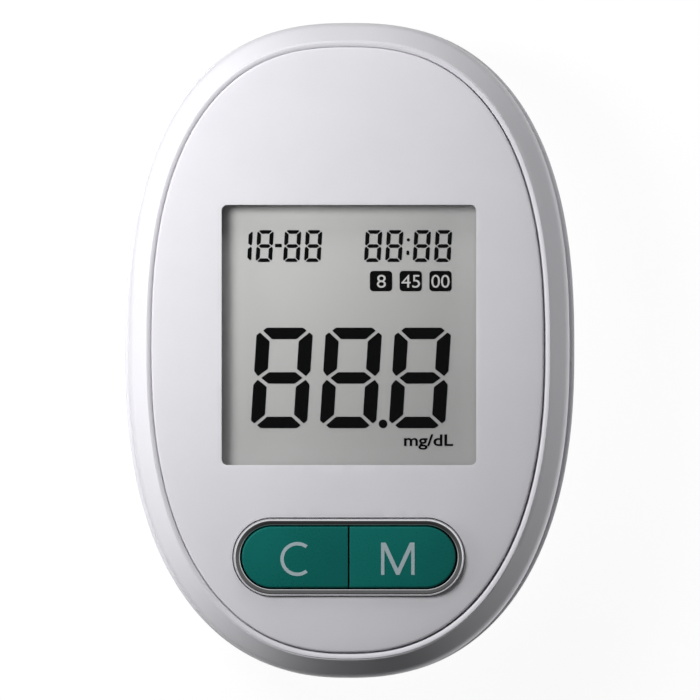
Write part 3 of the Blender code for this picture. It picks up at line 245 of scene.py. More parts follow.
class Shade:
    """A socket of a material's nodes, so that shader sums are written as Python sums."""

    def __init__(self, material, socket=None):
        self.material = material
        self.socket = socket

    def node(self, kind, settings, sockets, out=0):
        """Adds a node: its settings first, then the values or links of its sockets."""
        made = self.material.node_tree.nodes.new(kind)
        for name, value in settings.items():
            if name == "stops":
                stops = made.color_ramp.elements
                while len(stops) < len(value):
                    stops.new(1.0)
                for stop, (place, colour) in zip(stops, value):
                    stop.position, stop.color = place, (*colour, 1.0)
            else:
                setattr(made, name, value)
        self.fill(made, sockets)
        return Shade(self.material, made.outputs[out])

    def fill(self, made, sockets):
        for name, value in sockets.items():
            if isinstance(value, Shade):
                self.material.node_tree.links.new(value.socket, made.inputs[name])
            else:
                made.inputs[name].default_value = value

    def surface(self, sockets):
        """Sets or links the sockets of the material's Principled shader."""
        self.fill(self.material.node_tree.nodes["Principled BSDF"], sockets)
        return self.material

    def maths(self, operation, *values):
        return self.node("ShaderNodeMath", {"operation": operation}, dict(enumerate(values)))

    def mix(self, low, high):
        """Two colours mixed by this value."""
        return self.node("ShaderNodeMix", {"data_type": "RGBA"}, {0: self, 6: low, 7: high}, 2)

    def bump(self, depth, strength=1.0):
        """A normal from this value as a height, where 1 stands depth proud."""
        return self.node("ShaderNodeBump", {}, {
            "Height": self, "Distance": depth, "Strength": strength
        })

    def __add__(self, other):
        return self.maths("ADD", self, other)

    __radd__ = __add__

    def __sub__(self, other):
        return self.maths("SUBTRACT", self, other)

    def __rsub__(self, other):
        return self.maths("SUBTRACT", other, self)

    def __mul__(self, other):
        return self.maths("MULTIPLY", self, other)

    __rmul__ = __mul__


def new_finish(name):
    """A new material and its object coordinates in millimetres."""
    material = bpy.data.materials.new(name)
    material.use_nodes = True
    start = Shade(material)
    place = start.node("ShaderNodeTexCoord", {}, {}, "Object")
    return start, start.node("ShaderNodeMapping", {}, {"Vector": place, "Scale": (1 / mm,) * 3})


def noise(place, size, detail=2.0, out=0):
    """Soft noise with features of about this size in millimetres."""
    return place.node("ShaderNodeTexNoise", {}, {
        "Vector": place, "Scale": 1 / size, "Detail": detail, "Roughness": 0.55
    }, out)


def wear(material, *pieces):
    """Gives pieces this one material in place of any they had."""
    for piece in pieces:
        piece.data.materials.clear()
        piece.data.materials.append(material)


def moulded(name, colour, shade, roughness, grain_depth, grain_size=0.22, gloss=0.3):
    """Textured moulded plastic: cloudy colour, fine grain and roughness that follows it."""
    start, place = new_finish(name)
    cloud = noise(place, 9.0, 3.0)
    grain = noise(place, grain_size, 1.0)
    tone = (cloud - 0.5) * 1.6 + (grain - 0.5) * 0.5 + 0.5
    return start.surface({
        "Base Color": tone.mix((*shade, 1.0), (*colour, 1.0)),
        "Roughness": roughness + (grain - 0.5) * 0.18 + (cloud - 0.5) * 0.1,
        "Normal": grain.bump(grain_depth),
        "Specular IOR Level": gloss,
    })


white_case = moulded(
    "white_case", (0.80, 0.792, 0.832), (0.765, 0.757, 0.797), 0.42, 0.006 * mm, gloss=0.14
)
wear(white_case, rear_cover)
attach(rear_cover, "case")
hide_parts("rear_cover")

# Strip port
# A dark grey insert clipped into the strip end, with a funnelled slot that leads a test strip
# in to the connector's gilt leaf contacts under the board.
PORT_WIDTH = 11.0 * mm
PORT_TALL = 3.4 * mm
PORT_FRONT = 41.0 * mm
PORT_BACK = 36.4 * mm
SLOT_WIDTH = 7.0 * mm
SLOT_TALL = 1.3 * mm
MOUTH_WIDTH = 9.4 * mm
MOUTH_TALL = 2.5 * mm
MOUTH_DEPTH = 1.6 * mm
PORT_FLANGE = 0.9 * mm
PORT_FLANGE_ENDS = (37.3 * mm, 38.1 * mm)


def choose(piece, kind, wanted):
    """Enters edit mode with only the wanted vertices, edges or faces selected."""
    stand_alone(piece)
    bpy.ops.object.mode_set(mode="EDIT")
    bpy.ops.mesh.select_mode(type=kind)
    bpy.ops.mesh.select_all(action="DESELECT")
    bpy.ops.object.mode_set(mode="OBJECT")
    mesh = piece.data
    for item in {"VERT": mesh.vertices, "EDGE": mesh.edges, "FACE": mesh.polygons}[kind]:
        item.select = wanted(item)
    bpy.ops.object.mode_set(mode="EDIT")


def middle_of(mesh, edge):
    return (mesh.vertices[edge.vertices[0]].co + mesh.vertices[edge.vertices[1]].co) / 2


def sharp_edges(piece, degrees=40):
    """The indices of the edges where two faces meet at more than this angle."""
    mesh = piece.data
    faces = {}
    for face in mesh.polygons:
        for key in face.edge_keys:
            faces.setdefault(key, []).append(face.normal)
    limit = math.radians(degrees)
    return {
        edge.index for edge in mesh.edges
        if len(faces[edge.key]) == 2 and faces[edge.key][0].angle(faces[edge.key][1], 0) > limit
    }


def soften(piece, width, segments=2, degrees=40):
    """Rounds a piece's sharp edges, as a mould or a tumbler does."""
    stand_alone(piece)
    bpy.ops.object.modifier_add(type="BEVEL")
    edge = piece.modifiers[-1]
    edge.width, edge.segments, edge.limit_method = width, segments, "ANGLE"
    edge.angle_limit = math.radians(degrees)
    edge.harden_normals = False
    bpy.ops.object.modifier_apply(modifier=edge.name)


port = slab(
    (-PORT_WIDTH / 2, PORT_BACK, PORT_HEIGHT - PORT_TALL / 2),
    (PORT_WIDTH / 2, PORT_FRONT, PORT_HEIGHT + PORT_TALL / 2),
)
choose(port, "FACE", lambda face: face.normal.y > 0.9)
centre = (0, PORT_FRONT, PORT_HEIGHT)
bpy.ops.mesh.extrude_region_move(TRANSFORM_OT_translate={"value": (0, 0, 0)})
bpy.ops.transform.resize(
    value=(MOUTH_WIDTH / PORT_WIDTH, 1, MOUTH_TALL / PORT_TALL), center_override=centre
)
bpy.ops.mesh.extrude_region_move(TRANSFORM_OT_translate={"value": (0, -MOUTH_DEPTH, 0)})
bpy.ops.transform.resize(
    value=(SLOT_WIDTH / MOUTH_WIDTH, 1, SLOT_TALL / MOUTH_TALL), center_override=centre
)
bpy.ops.object.mode_set(mode="OBJECT")
soften(port, 0.18 * mm, 3, 25)
flange = slab(
    (-PORT_WIDTH / 2 - PORT_FLANGE, PORT_FLANGE_ENDS[0], PORT_HEIGHT - PORT_TALL / 2 - PORT_FLANGE),
    (PORT_WIDTH / 2 + PORT_FLANGE, PORT_FLANGE_ENDS[1], PORT_HEIGHT + PORT_TALL / 2 + PORT_FLANGE),
)
carve(port, flange, "UNION")
carve(port, slab(
    (-SLOT_WIDTH / 2, PORT_BACK - OVERRUN, PORT_HEIGHT - SLOT_TALL / 2),
    (SLOT_WIDTH / 2, PORT_FRONT - MOUTH_DEPTH + FIT_GAP, PORT_HEIGHT + SLOT_TALL / 2),
))
settle(port, "strip_port")
smooth(port)
grey_insert = moulded("grey_insert", (0.115, 0.12, 0.13), (0.095, 0.10, 0.11), 0.48, 0.008 * mm)
wear(grey_insert, port)
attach(port, "case")
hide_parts("strip_port_guide")

black_moulding = moulded(
    "black_moulding", (0.022, 0.022, 0.024), (0.015, 0.015, 0.017), 0.42, 0.006 * mm
)
wear(black_moulding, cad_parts["strip_connector"])


def plated(name, colour, shade, roughness, line_depth):
    """Plated sheet or wire: bright metal with fine rolling lines and duller patches."""
    start, place = new_finish(name)
    drawn = place.node("ShaderNodeMapping", {}, {"Vector": place, "Scale": (9.0, 0.6, 9.0)})
    lines = noise(drawn, 1.0, 3.0)
    patch = noise(place, 1.8, 2.0)
    return start.surface({
        "Base Color": (patch * 0.7 + lines * 0.3).mix((*shade, 1.0), (*colour, 1.0)),
        "Metallic": 1.0,
        "Roughness": roughness + (lines - 0.5) * 0.16 + (patch - 0.5) * 0.12,
        "Normal": lines.bump(line_depth),
    })


gilt = plated("gilt_leaf", (0.88, 0.66, 0.27), (0.74, 0.50, 0.18), 0.26, 0.004 * mm)
wear(gilt, *[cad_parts[f"strip_contact_{number}"] for number in (1, 2, 3)])

# Battery contacts and springs
# Nickel-plated spring steel: two end plates with tabs up to the board, one link plate, and a
# tapered coil of wire that pushes on the flat end of each cell.
CELL_HEIGHT = 7.75 * mm
LOWER_PLATE = -30.0 * mm
UPPER_PLATE = 20.0 * mm
SPRING_LENGTH = 4.0 * mm
SPRING_WIRE = 0.5 * mm
SPRING_TURNS = 3.5
SPRING_WIDE = 3.0 * mm
SPRING_NARROW = 1.9 * mm
SPRING_POINTS = 42

nickel = plated("nickel_plate", (0.74, 0.73, 0.70), (0.58, 0.57, 0.55), 0.24, 0.004 * mm)
wear(nickel, *[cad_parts[f"{name}_contact"] for name in ("positive", "negative", "link")])


def wire_spring(name, x, start, facing):
    """A coil of round wire, wide at its plate, drawn as a curve and made a mesh."""
    bpy.ops.object.select_all(action="DESELECT")
    bpy.ops.curve.primitive_nurbs_path_add(location=(0, 0, 0))
    made = bpy.context.object
    made.data.splines.clear()
    line = made.data.splines.new("POLY")
    count = round(SPRING_TURNS * SPRING_POINTS)
    line.points.add(count)
    for index, point in enumerate(line.points):
        share = index / count
        turn = 2 * math.pi * SPRING_TURNS * share
        radius = SPRING_WIDE + (SPRING_NARROW - SPRING_WIDE) * share
        along = SPRING_WIRE / 2 + (SPRING_LENGTH - SPRING_WIRE) * share
        point.co = (
            x + radius * math.cos(turn),
            start + facing * along,
            CELL_HEIGHT - facing * radius * math.sin(turn),
            1.0,
        )
    made.data.bevel_depth = SPRING_WIRE / 2
    made.data.bevel_resolution = 3
    made.data.use_fill_caps = True
    bpy.ops.object.convert(target="MESH")
    settle(made, name)
    smooth(made, 50)
    wear(nickel, made)
    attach(made, "case")
    return made


spring_1 = wire_spring("cell_spring_1", -CELL_X, LOWER_PLATE + FIT_GAP, 1)
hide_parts("battery_spring_1")
spring_2 = wire_spring("cell_spring_2", CELL_X, UPPER_PLATE - FIT_GAP, -1)
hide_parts("battery_spring_2")

# AAA cells
# Two drawn steel cans in a printed shrink sleeve, nub and flat end left bare. They lie side by
# side with their nubs at opposite ends of the bay.
CELL_RADIUS = 5.25 * mm
CELL_LENGTH = 44.5 * mm
NUB_RADIUS = 1.9 * mm
NUB_LENGTH = 0.9 * mm
CELL_EDGE = 0.5 * mm
SLEEVE_INNER = 4.55
BAND_ENDS = (34.0, 43.4)
STRIPE_PLACE = 33.2
STRIPE_HALF = 0.25
PLUS_PLACE = 38.7
MINUS_PLACE = 4.6
MARK_HALF_LENGTH = 1.6
MARK_HALF_STROKE = 0.35


def turned(name, profile, points=48):
    """A turned body: a disc extruded along Z through rings of radius, height."""
    bpy.ops.object.select_all(action="DESELECT")
    bpy.ops.mesh.primitive_circle_add(
        vertices=points, radius=profile[0][0], fill_type="NGON", location=(0, 0, profile[0][1])
    )
    made = bpy.context.object
    bpy.ops.object.transform_apply(location=True)
    bpy.ops.object.mode_set(mode="EDIT")
    bpy.ops.mesh.select_all(action="SELECT")
    for before, after in zip(profile, profile[1:]):
        bpy.ops.mesh.extrude_region_move(
            TRANSFORM_OT_translate={"value": (0, 0, after[1] - before[1])}
        )
        bpy.ops.transform.resize(
            value=(after[0] / before[0], after[0] / before[0], 1), center_override=(0, 0, after[1])
        )
    bpy.ops.mesh.select_all(action="SELECT")
    bpy.ops.mesh.normals_make_consistent(inside=False)
    bpy.ops.object.mode_set(mode="OBJECT")
    return settle(made, name)


CAN_END = CELL_LENGTH - NUB_LENGTH
CELL_PROFILE = [
    (3.6 * mm, 0.0), (4.2 * mm, 0.0), (4.35 * mm, 0.12 * mm), (4.6 * mm, 0.12 * mm),
    (5.0 * mm, 0.18 * mm), (5.18 * mm, 0.32 * mm), (CELL_RADIUS, CELL_EDGE),
    (CELL_RADIUS, CAN_END - CELL_EDGE), (5.18 * mm, CAN_END - 0.25 * mm),
    (5.0 * mm, CAN_END - 0.08 * mm), (4.7 * mm, CAN_END), (4.3 * mm, CAN_END - 0.1 * mm),
    (3.9 * mm, CAN_END - 0.3 * mm), (2.3 * mm, CAN_END - 0.3 * mm), (NUB_RADIUS, CAN_END - 0.2 * mm),
    (NUB_RADIUS, CELL_LENGTH - 0.25 * mm), (1.8 * mm, CELL_LENGTH - 0.08 * mm), (1.6 * mm, CELL_LENGTH),
]


def sleeve_finish(name, x, flat_end, facing):
    """Bare steel ends, a black sleeve with a coppery band at the nub end and printed marks."""
    start, place = new_finish(name)
    along = (place.node("ShaderNodeSeparateXYZ", {}, {0: place}, 1) - flat_end / mm) * facing
    side = place.node("ShaderNodeSeparateXYZ", {}, {0: place}, 0) - x / mm
    up = place.node("ShaderNodeSeparateXYZ", {}, {0: place}, 2) - CELL_HEIGHT / mm
    radius = side.maths("SQRT", side * side + up * up)
    grain = noise(place, 0.5, 3.0)

    def near(value, middle, reach):
        return start.maths("LESS_THAN", start.maths("ABSOLUTE", value - middle), reach)

    printed = start.maths("GREATER_THAN", radius, SLEEVE_INNER)
    band = start.maths("GREATER_THAN", along, BAND_ENDS[0])
    band = band * start.maths("LESS_THAN", along, BAND_ENDS[1])
    upright = near(along, PLUS_PLACE, MARK_HALF_LENGTH) * near(side, 0.0, MARK_HALF_STROKE)
    level = near(along, PLUS_PLACE, MARK_HALF_STROKE) * near(side, 0.0, MARK_HALF_LENGTH)
    outer_face = start.maths("LESS_THAN", up, 0.0)
    plus = start.maths("MAXIMUM", upright, level) * outer_face
    minus = near(along, MINUS_PLACE, MARK_HALF_STROKE) * near(side, 0.0, MARK_HALF_LENGTH) * outer_face
    stripe = near(along, STRIPE_PLACE, STRIPE_HALF)
    colour = band.mix((0.018, 0.02, 0.024, 1.0), (0.50, 0.22, 0.09, 1.0))
    colour = start.maths("MAXIMUM", stripe, minus).mix(colour, (0.62, 0.62, 0.60, 1.0))
    colour = plus.mix(colour, (0.02, 0.02, 0.02, 1.0))
    colour = printed.mix(grain.mix((0.55, 0.55, 0.54, 1.0), (0.72, 0.71, 0.69, 1.0)), colour)
    return start.surface({
        "Base Color": colour,
        "Metallic": 1 - printed * (1 - band * 0.8),
        "Roughness": 0.24 + grain * 0.14,
        "Normal": grain.bump(0.006 * mm),
        "Coat Weight": printed * 0.6,
    })


def cell(name, x, flat_end, facing):
    """One cell laid along the bay, with its nub facing up or down the case."""
    made = turned(name, CELL_PROFILE, 64)
    made.rotation_euler = (-facing * math.pi / 2, 0, 0)
    made.location = (x, flat_end, CELL_HEIGHT)
    settle(made, name)
    smooth(made, 38)
    wear(sleeve_finish(f"{name}_sleeve", x, flat_end, facing), made)
    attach(made, "case")
    return made


cell_1 = cell("cell_1", -CELL_X, LOWER_PLATE + FIT_GAP + SPRING_LENGTH + FIT_GAP, 1)
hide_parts("battery_cell_1")
cell_2 = cell("cell_2", CELL_X, UPPER_PLATE - FIT_GAP - SPRING_LENGTH - FIT_GAP, -1)
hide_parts("battery_cell_2")

# Battery door
# A flat white cover with a flange along each side that runs in the rear cover's grooves. Five
# cross grooves give a thumb its grip, and its lower end follows the rounding of the back.
DOOR_HALF_WIDTH = 12.2 * mm
DOOR_FLANGE = 1.0 * mm
DOOR_END = 22.5 * mm
DOOR_SET_BACK = 0.15 * mm
DOOR_TOP = 2.2 * mm
DOOR_FLANGE_BOTTOM = 1.35 * mm
GRIP_GROOVES = 5
GRIP_START = -22.7 * mm
GRIP_PITCH = 2.0 * mm
GRIP_HALF_LENGTH = 6.0 * mm
GRIP_RADIUS = 0.58 * mm
GRIP_DEPTH = 0.45 * mm

door = slab(
    (-DOOR_HALF_WIDTH, -HALF_LENGTH, DOOR_SET_BACK), (DOOR_HALF_WIDTH, DOOR_END, DOOR_TOP)
)
soften(door, 0.25 * mm, 3)
flange_edge = DOOR_HALF_WIDTH + DOOR_FLANGE
carve(door, slab(
    (-flange_edge, -HALF_LENGTH, DOOR_FLANGE_BOTTOM), (flange_edge, DOOR_END, DOOR_TOP)
), "UNION")
for number in range(GRIP_GROOVES):
    groove = peg(0, 0, GRIP_RADIUS, -GRIP_HALF_LENGTH, GRIP_HALF_LENGTH, 24)
    soften(groove, 0.3 * mm, 3)
    groove.rotation_euler = (0, math.pi / 2, 0)
    sunk = DOOR_SET_BACK + GRIP_DEPTH - GRIP_RADIUS
    groove.location = (0, GRIP_START + number * GRIP_PITCH, sunk)
    settle(groove, "groove")
    carve(door, groove)
carve(door, back_form("back_form"), "INTERSECT")
settle(door, "sliding_door")
smooth(door)
wear(white_case, door)
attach(door, "door")
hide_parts("battery_door")

# Case screws
# Four zinc-plated pan head screws, sunk in the back, that bite into the bezel's posts. Each has
# a cross recess.
SCREW_SEAT = 2.0 * mm
SCREW_HEAD = 1.1 * mm
SCREW_HEAD_RADIUS = 1.9 * mm
SCREW_RADIUS = 0.95 * mm
SCREW_LENGTH = 7.5 * mm
CROSS_HALF = (1.15 * mm, 0.24 * mm)
CROSS_DEPTH = 0.65 * mm


def spare(master, place, grow=(1, 1, 1)):
    """A copy with its own mesh, set down at a place."""
    made = master.copy()
    made.data = master.data.copy()
    bpy.context.scene.collection.objects.link(made)
    made.location, made.scale = place, grow
    return settle(made, master.name)


crown = SCREW_SEAT - SCREW_HEAD
screw_profile = [
    (0.9 * mm, crown), (1.3 * mm, crown + 0.08 * mm), (1.6 * mm, crown + 0.24 * mm),
    (1.82 * mm, crown + 0.5 * mm), (SCREW_HEAD_RADIUS, crown + 0.8 * mm),
    (SCREW_HEAD_RADIUS, SCREW_SEAT), (SCREW_RADIUS, SCREW_SEAT),
    (SCREW_RADIUS, SCREW_SEAT + SCREW_LENGTH - SCREW_RADIUS),
    (SCREW_RADIUS / 2, SCREW_SEAT + SCREW_LENGTH),
]
screw = turned("case_screw", screw_profile, 40)
for half_x, half_y in (CROSS_HALF, CROSS_HALF[::-1]):
    carve(screw, slab((-half_x, -half_y, 0.0), (half_x, half_y, crown + CROSS_DEPTH)))
smooth(screw)
zinc = plated("zinc_plate", (0.66, 0.66, 0.67), (0.50, 0.50, 0.52), 0.3, 0.003 * mm)
wear(zinc, screw)
for number, (x, y) in enumerate(CASE_SCREWS, 1):
    copy = settle(spare(screw, (x, y, 0)), f"pan_screw_{number}")
    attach(copy, "case")
    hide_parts(f"case_screw_{number}")
bpy.data.objects.remove(screw, do_unlink=True)
wear(zinc, *[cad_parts[f"board_screw_{number}"] for number in (1, 2, 3, 4)])

# Main board and what it carries
# Glass fibre board under green solder mask, with copper tracks, held by four screws. It carries
# the processor, a canned crystal, the buzzer and a small switch under each key.
start, place = new_finish("solder_mask")
track = place.node("ShaderNodeTexBrick", {"offset": 0.37, "squash": 0.6, "squash_frequency": 3}, {
    "Vector": place, "Scale": 1.0, "Mortar Size": 0.09, "Brick Width": 3.4, "Row Height": 0.9,
    "Color1": (0, 0, 0, 1), "Color2": (0, 0, 0, 1), "Mortar": (1, 1, 1, 1),
}, 1)
weave = noise(place, 0.35, 1.0)
solder_mask = start.surface({
    "Base Color": track.mix(
        weave.mix((0.008, 0.085, 0.035, 1.0), (0.014, 0.12, 0.05, 1.0)), (0.03, 0.20, 0.085, 1.0)
    ),
    "Roughness": 0.34 + weave * 0.14,
    "Normal": (track + weave * 0.2).bump(0.03 * mm),
})
wear(solder_mask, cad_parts["main_board"])
for name in ("processor_chip", "buzzer", "c_switch", "m_switch"):
    wear(black_moulding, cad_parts[name])
wear(zinc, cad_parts["timing_crystal"])
wear(grey_insert, *[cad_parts[name] for name in ("c_plunger", "m_plunger")])

# Display
# Two glasses with the crystal between them, held over the board in a black frame. Striped rubber
# strips carry its lines from the board, and a foam gasket keeps dust off it.
WINDOW_Y = 1.86 * mm
GLASS_TOP = 19.1 * mm
PRINT_DEPTH = 0.04 * mm
DIGIT_HALF = (3.56 * mm, 6.36 * mm)
DIGIT_SLANT = math.tan(math.radians(3.65))
DIGIT_CORNER = 0.1 * mm
BIG_DIGITS = [(x * mm, -3.48 * mm) for x in (-8.44, 0.3, 9.04)]
SMALL_HALF = (1.04 * mm, 2.015 * mm)
SMALL_Y = 13.2 * mm
SMALL_ONE = -13.26 * mm
SMALL_EIGHTS = [x * mm for x in (-10.61, -7.13, -4.47, 3.11, 5.79, 9.27, 11.96)]
BADGES = [(x * mm, 8.77 * mm) for x in (4.11, 7.87, 11.64)]
BADGE_HALF = (1.41 * mm, 1.29 * mm)
BADGE_CORNER = 0.45 * mm
TOP_BAR = (
    (-0.437, 0.771), (0.437, 0.771), (0.777, 0.941), (0.642, 1.0), (-0.642, 1.0), (-0.777, 0.941)
)
SIDE_BAR = (
    (0.518, 0.73), (0.88, 0.905), (1.0, 0.848), (1.0, 0.137), (0.855, 0.035), (0.518, 0.178)
)
MIDDLE_BAR = (
    (-0.736, 0.0), (-0.47, 0.114), (0.47, 0.114), (0.736, 0.0), (0.47, -0.114), (-0.47, -0.114)
)
POINT_PLACE = (4.36 * mm, -9.29 * mm)
POINT_RADIUS = 0.545 * mm
PRINT_TOP = GLASS_TOP + PRINT_DEPTH
FIGURE_BASE = 7.94 * mm
FIGURE_HEIGHT = 1.62 * mm
UNIT_ENDS = (7.02 * mm, 13.25 * mm)
UNIT_BASE = -12.05 * mm
UNIT_HEIGHT = 1.44 * mm
UNIT_WEIGHT = 0.018

wear(black_moulding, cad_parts["display_frame"])
foam = moulded("gasket_foam", (0.045, 0.045, 0.048), (0.025, 0.025, 0.027), 0.85, 0.05 * mm, 0.3)
wear(foam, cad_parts["dust_gasket"])

start, place = new_finish("striped_rubber")
across = place.node("ShaderNodeSeparateXYZ", {}, {0: place}, 0)
layer = across.maths("GREATER_THAN", across.maths("FRACT", across * 4.0), 0.5)
striped_rubber = start.surface({
    "Base Color": layer.mix((0.30, 0.22, 0.20, 1.0), (0.03, 0.03, 0.03, 1.0)),
    "Roughness": 0.75 - layer * 0.15,
    "Normal": layer.bump(0.01 * mm),
})
wear(striped_rubber, *[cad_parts[f"zebra_connector_{number}"] for number in (1, 2)])

start, place = new_finish("crystal_grey")
polariser = noise(place, 0.3, 2.0)
across = place.node("ShaderNodeSeparateXYZ", {}, {0: place}, 0)
along = place.node("ShaderNodeSeparateXYZ", {}, {0: place}, 1)
# Painted light: the crystal's grey is painted lighter towards the upper left and darker towards the
# lower right, standing in for the lamps' fall-off across the display.
painted_light_slope = start.node("ShaderNodeMapRange", {"interpolation_type": "SMOOTHSTEP"}, {
    "Value": along - across + noise(place, 14.0, 2.0) * 4.0, "From Min": -26.0, "From Max": 32.0,
})
crystal_grey = start.surface({
    "Base Color": (painted_light_slope * 0.92 + polariser * 0.08).mix(
        (0.47, 0.47, 0.465, 1.0), (0.69, 0.69, 0.68, 1.0)
    ),
    "Roughness": 0.5 + polariser * 0.1,
    "Normal": polariser.bump(0.002 * mm),
    "Specular IOR Level": 0.1,
})
wear(crystal_grey, *[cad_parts[f"display_{end}_glass"] for end in ("front", "rear")])


def plaque(name, outline, low, high):
    """A thin plate: a filled circle's corners drawn to an outline, then extruded."""
    bpy.ops.object.select_all(action="DESELECT")
    bpy.ops.mesh.primitive_circle_add(
        vertices=len(outline), radius=1.0, fill_type="NGON", location=(0, 0, 0)
    )
    made = bpy.context.object
    for point, (x, y) in zip(made.data.vertices, outline):
        point.co = (x, y, low)
    bpy.ops.object.mode_set(mode="EDIT")
    bpy.ops.mesh.select_all(action="SELECT")
    bpy.ops.mesh.extrude_region_move(TRANSFORM_OT_translate={"value": (0, 0, high - low)})
    bpy.ops.mesh.select_all(action="SELECT")
    bpy.ops.mesh.normals_make_consistent(inside=False)
    bpy.ops.object.mode_set(mode="OBJECT")
    return settle(made, name)


def round_uprights(piece, radius, segments=3):
    """Rounds a plate's corners, seen from above."""
    points = piece.data.vertices
    choose(piece, "EDGE", lambda edge: (
        abs(points[edge.vertices[0]].co.z - points[edge.vertices[1]].co.z) > PRINT_DEPTH / 2
    ))
    bpy.ops.mesh.bevel(offset=radius, offset_type="OFFSET", segments=segments, affect="EDGES")
    bpy.ops.object.mode_set(mode="OBJECT")


def gather(name, parts):
    """Joins like parts into one piece."""
    stand_alone(parts[0])
    for part in parts:
        part.select_set(True)
    bpy.ops.object.join()
    return settle(parts[0], name)


def digit(name, bars):
    """Slanted bars of one figure, drawn from shares of its half width and half height."""
    half_x, half_y = DIGIT_HALF
    made = gather(name, [plaque("bar", [
        (x * half_x + y * half_y * DIGIT_SLANT, y * half_y) for x, y in bar
    ], 0.0, PRINT_DEPTH) for bar in bars])
    round_uprights(made, DIGIT_CORNER)
    return made


def turned_over(bar, x, y):
    """A bar's corners mirrored where x or y is -1."""
    return [(x * a, y * b) for a, b in bar]


sides = [turned_over(SIDE_BAR, x, y) for x in (1, -1) for y in (1, -1)]
eight = digit("eight", [TOP_BAR, turned_over(TOP_BAR, 1, -1), MIDDLE_BAR, *sides])
one = digit("one", sides[:2])

shown = [spare(eight, (x, y, GLASS_TOP)) for x, y in BIG_DIGITS]
shown.append(peg(*POINT_PLACE, POINT_RADIUS, GLASS_TOP, PRINT_TOP, 28))
big_digits = gather("big_digits", shown)

grow = (SMALL_HALF[0] / DIGIT_HALF[0], SMALL_HALF[1] / DIGIT_HALF[1], 1)
shown = [spare(eight, (x, SMALL_Y, GLASS_TOP), grow) for x in SMALL_EIGHTS]
shown.append(spare(one, (SMALL_ONE, SMALL_Y, GLASS_TOP), grow))
dash = slab((-9.31 * mm, 13.04 * mm, GLASS_TOP), (-8.45 * mm, 13.48 * mm, PRINT_TOP))
round_uprights(dash, DIGIT_CORNER)
upper_dot = peg(7.57 * mm, 13.98 * mm, 0.21 * mm, GLASS_TOP, PRINT_TOP, 20)
lower_dot = slab((7.33 * mm, 12.06 * mm, GLASS_TOP), (7.67 * mm, 12.62 * mm, PRINT_TOP))
round_uprights(lower_dot, 0.13 * mm)
small_digits = gather("small_digits", shown + [dash, upper_dot, lower_dot])
for master in (eight, one):
    bpy.data.objects.remove(master, do_unlink=True)

shown = []
for x, y in BADGES:
    badge = slab(
        (x - BADGE_HALF[0], y - BADGE_HALF[1], GLASS_TOP),
        (x + BADGE_HALF[0], y + BADGE_HALF[1], PRINT_TOP),
    )
    round_uprights(badge, BADGE_CORNER, 6)
    shown.append(badge)
number_badges = gather("number_badges", shown)


def lettering(name, words, left, right, baseline, height, low, high, weight=0.0):
    """Type set between two edges, with its tallest letters this high over the baseline."""
    bpy.ops.object.select_all(action="DESELECT")
    bpy.ops.object.text_add(location=(0, 0, 0))
    made = bpy.context.object
    made.data.body = words
    made.data.extrude = 0.5
    made.data.offset = weight
    bpy.ops.object.convert(target="MESH")
    bpy.ops.object.mode_set(mode="EDIT")
    bpy.ops.mesh.select_all(action="SELECT")
    bpy.ops.mesh.remove_doubles(threshold=0.0005)
    bpy.ops.object.mode_set(mode="OBJECT")
    xs = [point.co.x for point in made.data.vertices]
    top = max(point.co.y for point in made.data.vertices)
    wide = (right - left) / (max(xs) - min(xs))
    made.scale = (wide, height / top, high - low)
    made.location = (left - min(xs) * wide, baseline, (low + high) / 2)
    return settle(made, name)


badge_figures = gather("badge_figures", [
    lettering(
        "figure", words, (x - half) * mm, (x + half) * mm, FIGURE_BASE, FIGURE_HEIGHT,
        PRINT_TOP, PRINT_TOP + PRINT_DEPTH,
    ) for words, x, half in (("8", 4.16, 0.57), ("45", 7.87, 1.18), ("00", 11.64, 1.15))
])
unit_print = lettering(
    "unit_print", "mg/dL", *UNIT_ENDS, UNIT_BASE, UNIT_HEIGHT, GLASS_TOP, PRINT_TOP, UNIT_WEIGHT
)
crystal_black = moulded(
    "crystal_black", (0.0015, 0.0015, 0.002), (0.0005, 0.0005, 0.001), 0.6, 0.002 * mm, gloss=0.0
)
crystal_pale = moulded(
    "crystal_pale", (0.72, 0.72, 0.71), (0.66, 0.66, 0.65), 0.6, 0.002 * mm, gloss=0.1
)
wear(crystal_black, big_digits, small_digits, number_badges, unit_print)
wear(crystal_pale, badge_figures)
for piece in (big_digits, small_digits, number_badges, badge_figures, unit_print):
    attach(piece, "case")

# Front bezel
# The upper half of the case, in the same white plastic. Its band slopes from a fine lip round
# the face plate to a rounded shoulder, and four posts inside take the case screws.
PARTING = 14.0 * mm
SIDE_STEP = 0.6 * mm
BAND_BREAK = (27.3 * mm, 18.5 * mm)
BAND_FOOT = 15.2 * mm
BAND_TURN_STEPS = 14
BAND_SLOPE_STEPS = 4
PARTING_EDGE = 0.12 * mm
PLATE_RIM = 20.9 * mm
LIP_FOOT = (25.62 * mm, 39.17 * mm)
SEAM = (24.94 * mm, 38.38 * mm)
LIP_STEP = [(0.66 * mm, 20.92 * mm), (0.62 * mm, 20.98 * mm)]
LIP_REACH = 0.58 * mm
LIP_CREST = 21.02 * mm
LIP_FALL = 0.42 * mm
LIP_STEPS = 7
SEAM_FLOOR = 20.0 * mm
SEAM_SHELF = 0.12 * mm
LEDGE_TOP = 19.3 * mm
LEDGE_BOTTOM = 18.1 * mm
LEDGE_REACH = 2.27 * mm
BEZEL_WALL = 2.9 * mm
TONGUE_BOTTOM = 12.6 * mm
POST_RADIUS = 2.2 * mm
POST_BOTTOM = 4.3 * mm
POST_TOP = 17.0 * mm
PILOT_TOP = 9.8 * mm
RIB_HALF = 0.6 * mm
RIB_BOTTOM = 16.1 * mm
RIB_END = 22.5 * mm

